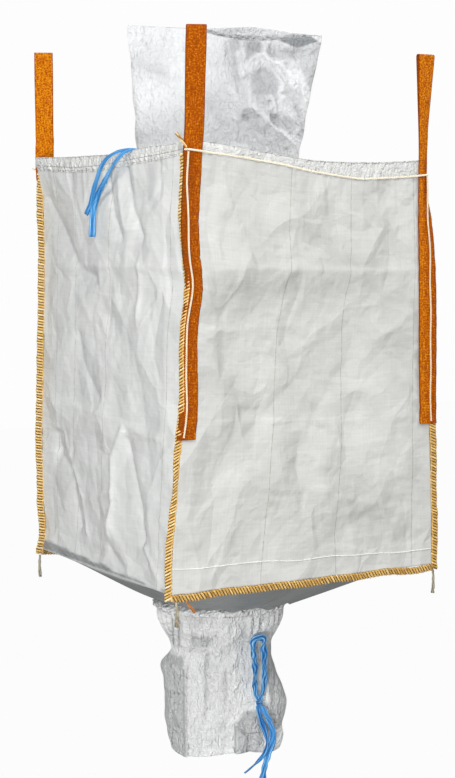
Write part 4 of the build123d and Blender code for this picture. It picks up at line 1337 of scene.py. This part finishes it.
def discharge_cloth():
    """Discharge spout: a limp tube, round at its seam, drawn in below it and then hanging in deep upright
    pleats; each side has its own pleats and crinkles."""
    turn = np.linspace(0, 2 * np.pi, 340, endpoint=False)[None, :]
    v = np.linspace(0, 1, 170)[:, None]
    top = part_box("discharge_spout")[1].z + 0.004
    foot = SPOUT_FOOT + 0.004 + 0.008 * ring_ripple(turn, 5, 1, 6, 81)
    z = top + (foot - top) * v
    side, points = spout_ring(turn, z, through(z, *SPOUT_LEFT), through(z, *SPOUT_RIGHT),
                              through(z, *SPOUT_DEPTH))
    front = np.sin(turn) > 0
    away = np.clip(np.abs(np.sin(turn)) * 1.5, 0, 1)
    free = smooth((top - z) / 0.05)
    own = folded(side, z, DISCHARGE_FOLDS + DISCHARGE_CHANCE, 0.0015) + pleated(side, z, DISCHARGE_PLEATS)
    relief = np.where(front, own - 0.010, -folded(side, z, DISCHARGE_BACK, 0.0015))
    edge_fold = 0.0020 * ripple(z, 6, 0.03, 0.15, 82) * (1 - away) * np.sign(-np.cos(turn))
    gathered = 0.004 * ring_ripple(turn, 10, 24, 60, 83) * np.exp(-(top - z) / 0.06) * free
    out = unit(points * [1, 1, 0])
    points = points + NEARER * (relief * away * free)[..., None] + ALONG * (edge_fold * free)[..., None]
    points = settle(points + out * gathered[..., None], SEAM)
    # Painted shade: grey in the hollows and areas of the front, taken off the crests, and an even grey on the
    # back
    hollows = 0.25 * np.clip(-0.008 - relief, 0, 0.008) / 0.008
    crests = np.clip((relief + 0.004) / 0.008, 0, 1)
    grey = np.maximum(shaded_areas(side, z, DISCHARGE_SHADE), hollows * (1 - crests) ** 2)
    shade = np.where(front, grey, 0.1)
    shape = patch(points, sleeve_uv(side, z, 0.4), around=True, tone=shade)
    piece = make("discharge_spout_cloth", shape, SPOUT_CLOTH, ["discharge_spout"], body=None,
                 thickness=0.0009)
    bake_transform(piece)


def discharge_gathers():
    """Rumpled seam round the rim: a closed band whose section swells and dips as it goes round, and whose
    foot lies a little to one side, with the spout."""
    turn = np.linspace(0, 2 * np.pi, 420, endpoint=False)[None, :]
    section = np.array([(0.1985, 0.014), (0.2010, 0.006), (0.2060, 0.001), (0.2110, -0.004),
                        (0.2125, -0.011), (0.2080, -0.018), (0.2000, -0.0235), (0.1960, -0.021),
                        (0.1955, -0.008), (0.1960, 0.010)])
    outer = smooth((section[:, :1] - 0.199) / 0.008)
    row = np.arange(len(section))[:, None]
    radius = section[:, :1] + outer * (0.0035 * ring_ripple(turn + 0.10 * row, 9, 14, 50, 91)
                                       + 0.0030 * ring_ripple(turn - 0.16 * row, 6, 5, 16, 92))
    rise = section[:, 1:] + outer * 0.0030 * ring_ripple(turn + 0.22 * row, 8, 9, 34, 93)
    points = np.stack([radius * np.cos(turn), radius * np.sin(turn), RIM + rise], -1)
    shift = smooth((0.02 - rise) / 0.03)[..., None] * (-0.030 * ALONG)
    points = settle(points + shift, SEAM)
    uv = spread_uv(np.linspace(0, 1.3, 421)[None, :], np.linspace(0, 0.09, 11)[:, None])
    shape = looped(points, uv, np.zeros(points[..., 0].size))
    make("discharge_gathers", shape, SPOUT_CLOTH, ["discharge_ring"])


# ---------------------------------------------------------------- free ends

FILL_TIE_LONG = [
    (-0.1417, -0.061, -0.424), (-0.186, -0.104, -0.416), (-0.256, -0.134, -0.394), (-0.332, -0.142, -0.368),
    (-0.404, -0.138, -0.348), (-0.446, -0.130, -0.340), (-0.482, -0.114, -0.346), (-0.499, -0.080, -0.362),
    (-0.501, -0.036, -0.390), (-0.495, -0.003, -0.426), (-0.489, 0.038, -0.466), (-0.483, 0.064, -0.508),
    (-0.481, 0.098, -0.538),
]
FILL_TIE_SHORT = [
    (-0.1226, -0.0785, -0.424), (-0.166, -0.128, -0.416), (-0.240, -0.160, -0.394), (-0.320, -0.170, -0.368),
    (-0.398, -0.166, -0.348), (-0.448, -0.158, -0.341), (-0.482, -0.146, -0.350), (-0.497, -0.114, -0.382),
    (-0.495, -0.066, -0.424), (-0.488, -0.018, -0.452), (-0.484, 0.028, -0.488), (-0.480, 0.060, -0.538),
    (-0.478, 0.064, -0.608),
]
DISCHARGE_TIE_BOW = [
    (0.096, 0.098, -2.091), (0.109, 0.097, -2.044), (0.108, 0.102, -1.984), (0.104, 0.113, -1.924),
    (0.109, 0.134, -1.884), (0.073, 0.149, -1.880), (0.069, 0.131, -1.922), (0.081, 0.114, -1.992),
    (0.073, 0.108, -2.052), (0.086, 0.098, -2.0906),
]
DISCHARGE_TIE_LEFT = [
    (0.086, 0.098, -2.1108), (0.091, 0.102, -2.140), (0.108, 0.105, -2.186), (0.120, 0.108, -2.224),
    (0.110, 0.106, -2.262), (0.078, 0.103, -2.298), (0.044, 0.102, -2.326),
]
DISCHARGE_TIE_RIGHT = [
    (0.096, 0.098, -2.112), (0.114, 0.103, -2.136), (0.127, 0.107, -2.166), (0.137, 0.109, -2.200),
    (0.132, 0.107, -2.236), (0.115, 0.104, -2.276), (0.104, 0.103, -2.322), (0.099, 0.102, -2.368),
]
KNOT_MIDDLE = (0.091, 0.0982, -2.101)
# Filler tail of the front left corner, given to the others by mirroring, and how each is shifted
SEAM_TAIL = [(-0.459, -0.449, -1.6686), (-0.462, -0.451, -1.705), (-0.458, -0.449, -1.742)]
TAIL_SHIFT = {"front_left": (-0.007, 0.011), "front_right": (0.012, -0.008), "back_left": (-0.008, 0.005),
              "back_right": (0.006, 0.005)}
HEM_TUFT = [(-0.4445, -0.4565, -0.3505), (-0.45583529, -0.4515, -0.331), (-0.474, -0.4445, -0.308)]
BOTTOM_TUFT = [(-0.440, -0.449, -1.6692), (-0.428, -0.450, -1.686), (-0.415, -0.453, -1.702)]


def hung_in_front(points):
    """Points of the discharge tie, given along the spout, out of its middle plane, and level."""
    points = np.array(points)
    flat = points[:, :1] * ALONG + points[:, 1:2] * NEARER
    flat[:, 2] = points[:, 2]
    return flat


def smooth_line(name, route):
    """Points along the NURBS line that has the route's points as its control points."""
    curve = bpy.data.curves.new(name + "_line", "CURVE")
    curve.dimensions = "3D"
    curve.resolution_u = 12
    spline = curve.splines.new("NURBS")
    spline.points.add(len(route) - 1)
    weighted = np.c_[np.array(route), np.ones(len(route))]
    spline.points.foreach_set("co", weighted.reshape(-1).astype(np.float32))
    spline.order_u = 3
    spline.use_endpoint_u = True
    holder = bpy.data.objects.new(name + "_line", curve)
    line = bpy.data.meshes.new_from_object(holder)
    points = np.zeros(len(line.vertices) * 3, np.float32)
    line.vertices.foreach_get("co", points)
    bpy.data.objects.remove(holder)
    bpy.data.meshes.remove(line)
    bpy.data.curves.remove(curve)
    return points.reshape(-1, 3).astype(float)


def tape(name, route, facings, body, node, seed, widths, dark, creased):
    """Flat tape along its line: an oval section with lengthwise ridges. Its half width goes through widths,
    given at shares of its length, it faces the first facing up to halfway and the second past that, and its
    turn about the line and its ridges drift along it."""
    path = smooth_line(name, route)
    steps = distances(path)
    share = steps / steps[-1]
    begin, later = np.array(facings)
    right, up = frames(path, begin + (later - begin) * smooth((share - 0.50) / 0.22)[:, None])
    sway = (0.15 + creased) * ripple(steps, 3, 0.08, 0.30, seed)
    c, s = np.cos(sway)[:, None], np.sin(sway)[:, None]
    right, up = right * c + up * s, up * c - right * s
    turn = np.linspace(0, 2 * np.pi, 24, endpoint=False)
    half = np.interp(share, *widths) * (1 + (0.04 + 0.5 * creased) * ripple(steps, 4, 0.03, 0.12, seed + 1))
    half = np.clip(half, 0.0030, 0.0118)
    ridges = np.sin(5 * turn[None, :] + 3.5 * ripple(steps, 2, 0.05, 0.2, seed + 2)[:, None])
    p = half[:, None] * np.cos(turn)[None, :]
    q = -(0.0008 + 0.004 * creased) * np.sin(turn)[None, :] * (1 + (0.1 + 1.4 * creased) * ridges)
    cup = 0.0008 * ripple(steps, 3, 0.05, 0.18, seed + 3)[:, None] * np.cos(2 * turn)[None, :]
    points = path[:, None] + right[:, None] * p[..., None] + up[:, None] * (q + cup)[..., None]
    uv = spread_uv(np.linspace(0, 0.04, 25)[None, :], steps[:, None])
    # Lengthwise streaks, partly the film's own and partly painted light and shade: lighter on ridge crests,
    # darker in the grooves
    tone = 0.03 * ripple(steps, 3, 0.10, 0.3, seed + 4)[:, None] + (0.04 + 0.35 * creased) * ridges - dark
    piece = make(name, patch(points, uv, around=True, ends=True, tone=tone), TAPE, [node],
                 body=body)


def frayed(name, route, radius, material, node, seed, strands=7):
    """Bundle of fibres along a line: one core and strands that wind loosely round it and part at its end."""
    path = smooth_line(name, route)
    steps = distances(path)
    share = steps / steps[-1]
    right, up = frames(path, NEARER)
    fibres = [thread(path, radius * 0.62, NEARER, 8, 0.3 + 0.2 * ripple(steps, 3, 0.01, 0.05, seed))]
    for number in range(strands):
        phase = 2 * np.pi * number / strands + 5.0 * share + 0.5 * ripple(steps, 2, 0.02, 0.06, seed + number)
        loose = 0.50 + 0.30 * share + 0.10 * ripple(steps, 3, 0.012, 0.04, seed + 20 + number)
        reach = radius * loose + 0.0014 * share
        fibre = path + right * (reach * np.cos(phase))[:, None] + up * (reach * np.sin(phase))[:, None]
        fibres.append(thread(fibre, radius * 0.36, NEARER, 5, 0.12 + 0.75 * ((number * 3) % 7) / 7))
    make(name, joined(fibres), material, [node])


def tie_knot():
    """Knot of the discharge tie, a trefoil of gathered tape: along the spout and up, its line is an oval
    that it goes round twice, times 1 + 0.35 * cos(3 * turn), while it swings nearer and farther three
    times."""
    turn = np.linspace(0, 2 * np.pi, 160, endpoint=False)
    middle = hung_in_front([KNOT_MIDDLE])[0]
    side = 0.0072 * np.cos(2 * turn) * (1 + 0.35 * np.cos(3 * turn))
    rise = 0.0058 * np.sin(2 * turn) * (1 + 0.35 * np.cos(3 * turn))
    near = 0.0032 * np.sin(3 * turn)
    path = middle + hung_in_front(np.stack([side, near, rise], -1))
    along = unit(np.roll(path, -1, 0) - np.roll(path, 1, 0))
    up = unit(path - middle - along * ((path - middle) * along).sum(-1, keepdims=True))
    right = np.cross(along, up)
    profile = round_profile(0.0040, 10, 0.5)
    points = path[:, None] + right[:, None] * profile[None, :, :1] + up[:, None] * profile[None, :, 1:]
    uv = spread_uv(np.linspace(0, 0.03, len(profile) + 1)[None, :],
                   np.linspace(0, 0.15, len(path) + 1)[:, None])
    tone = np.repeat(0.08 * np.sin(5 * turn), len(profile))
    make("tie_knot_tape", looped(points, uv, tone), TAPE, ["discharge_tie_knot"],
         body="discharge_sleeve")


def free_ends():
    """The limp ends: two fill ties, the discharge tie with its knot, the filler tail of each corner seam,
    and two tufts of thread."""
    over_hem = [(-0.9, -0.35, 0.45), (-0.62, -0.78, 0.05)]
    for which, route, seed, widths, dark in (
        ("long", FILL_TIE_LONG, 101, ([0, 0.6, 1], [0.0060, 0.0062, 0.0075]), -0.02),
        ("short", FILL_TIE_SHORT, 111, ([0, 0.62, 0.80, 1], [0.0060, 0.0064, 0.0098, 0.0100]), -0.04),
    ):
        tape("fill_tie_tape_" + which, route, over_hem, "bag", "fill_tie_" + which, seed, widths, dark, 0.03)
    for which, route, seed, widths, dark, creased in (
        ("bow", DISCHARGE_TIE_BOW, 121, ([0, 0.25, 0.55, 0.8, 1], [0.0075, 0.0112, 0.0095, 0.0118, 0.0070]),
         -0.02, 0.50),
        ("left", DISCHARGE_TIE_LEFT, 131, ([0, 0.3, 0.75, 1], [0.0085, 0.0090, 0.0055, 0.0032]), 0.06, 0.30),
        ("right", DISCHARGE_TIE_RIGHT, 141, ([0, 0.3, 0.7, 1], [0.0080, 0.0100, 0.0095, 0.0112]), 0.0, 0.22),
    ):
        tape("discharge_tie_tape_" + which, hung_in_front(route), [NEARER, NEARER], "discharge_sleeve",
             "discharge_tie_" + which, seed, widths, dark, creased)
    tie_knot()
    for number, (corner, (side_x, side_y)) in enumerate(CORNERS.items()):
        dx, dy = TAIL_SHIFT[corner]
        route = [(-side_x * x + dx, -side_y * y + dy, z) for x, y, z in SEAM_TAIL]
        frayed("filler_tail_" + corner, route, 0.0060 if corner == "front_left" else 0.004, FILLER,
               "seam_tail_" + corner, 150 + 30 * number)
    frayed("hem_tuft_thread", HEM_TUFT, 0.0043, OVERLOCK, "hem_thread_tuft", 301, 3)
    frayed("bottom_tuft_thread", BOTTOM_TUFT, 0.0033, ORANGE, "bottom_thread_tuft", 311, 4)


# ---------------------------------------------------------------- studio

def stage_floor():
    """Pale floor well under the hanging bag. The camera sees it nearly white, and it is clear from below,
    so that the base can be looked at."""
    floor = bpy.data.meshes.new("floor")
    level = LOWEST - 3.6
    square = [(40.0 * x, 40.0 * y, level) for x, y in ((-1, -1), (1, -1), (1, 1), (-1, 1))]
    floor.from_pydata(square, [], [(0, 1, 2, 3)])
    material, tree, matt = new_material("studio floor, matt white", 0.9, 0.5)
    matt.inputs["Base Color"].default_value = colour("#c4c4c2")
    rays = add(tree, "ShaderNodeLightPath")
    glow = add(tree, "ShaderNodeEmission", Strength=1.03)
    glow.inputs["Color"].default_value = colour("#fdfdfd")
    white = math_node(tree, "MULTIPLY", rays.outputs["Is Camera Ray"], 0.95)
    top = add(tree, "ShaderNodeMixShader", [(0, white), (1, matt.outputs[0]), (2, glow.outputs[0])])
    sides = add(tree, "ShaderNodeNewGeometry")
    clear = add(tree, "ShaderNodeBsdfTransparent")
    both = add(tree, "ShaderNodeMixShader", [(0, sides.outputs["Backfacing"]), (1, top.outputs[0]),
                                             (2, clear.outputs[0])])
    tree.links.new(both.outputs[0], tree.nodes["Material Output"].inputs["Surface"])
    floor.materials.append(material)
    ground = bpy.data.objects.new("floor", floor)
    bpy.context.scene.collection.objects.link(ground)


def pale_sky():
    """Even pale sky, white to the camera and dimmer as light."""
    world = bpy.data.worlds.new("studio")
    bpy.context.scene.world = world
    world.use_nodes = True
    tree = world.node_tree
    rays = add(tree, "ShaderNodeLightPath")
    sky = tree.nodes["Background"]
    sky.inputs["Color"].default_value = (0.96, 0.98, 1.0, 1.0)
    sky.inputs["Strength"].default_value = 0.38
    white = add(tree, "ShaderNodeBackground", Strength=1.0)
    white.inputs["Color"].default_value = colour("#fdfdfd")
    mixed = add(tree, "ShaderNodeMixShader", [(0, rays.outputs["Is Camera Ray"]), (1, sky.outputs[0]),
                                              (2, white.outputs[0])])
    tree.links.new(mixed.outputs[0], tree.nodes["World Output"].inputs["Surface"])


def lamps():
    """Soft round lamps about the bag, all aimed at the middle of its body."""
    for name, place, size, power in (
        ("key", (-2.6, -3.7, 2.7), 1.0, 138.0),
        ("rake", (3.4, -2.0, 2.8), 0.9, 95.0),
        ("fill", (3.8, -3.2, 0.4), 2.0, 30.0),
        ("low", (-3.8, -4.0, -2.2), 1.6, 172.0),
        ("rear", (0.5, 4.6, 2.2), 3.0, 120.0),
        ("side", (-4.8, 0.6, 0.9), 1.4, 40.0),
    ):
        data = bpy.data.lights.new(name, "AREA")
        data.shape = "DISK"
        data.size = size
        data.energy = power
        lamp = bpy.data.objects.new(name, data)
        lamp.location = place
        aim = np.array([0.0, 0.0, -1.1]) - np.array(place)
        lamp.rotation_euler = (math.atan2(math.hypot(aim[0], aim[1]), -aim[2]), 0.0,
                               math.atan2(aim[1], aim[0]) - math.pi / 2)
        bpy.context.scene.collection.objects.link(lamp)


# ---------------------------------------------------------------- assembly

free_ends()
for side, columns, rows in (("front", 171, 231), ("back", 101, 136)):
    side_cloth(side, columns, rows)
    hem_chain(side)
    bottom_seam(side)
    bottom_thread(side)
u_cloth()
for side in HEM_TOPS:
    hem(side)
for side in ("left", "right"):
    hem_rows(side)
for corner in CORNERS:
    strap(corner)
    leg_thread(corner)
    corner_seam(corner)
top_cloth()
fill_cloth()
fill_collar()
discharge_cloth()
discharge_gathers()
stage_floor()
pale_sky()
lamps()
bpy.context.scene.view_settings.view_transform = "Standard"
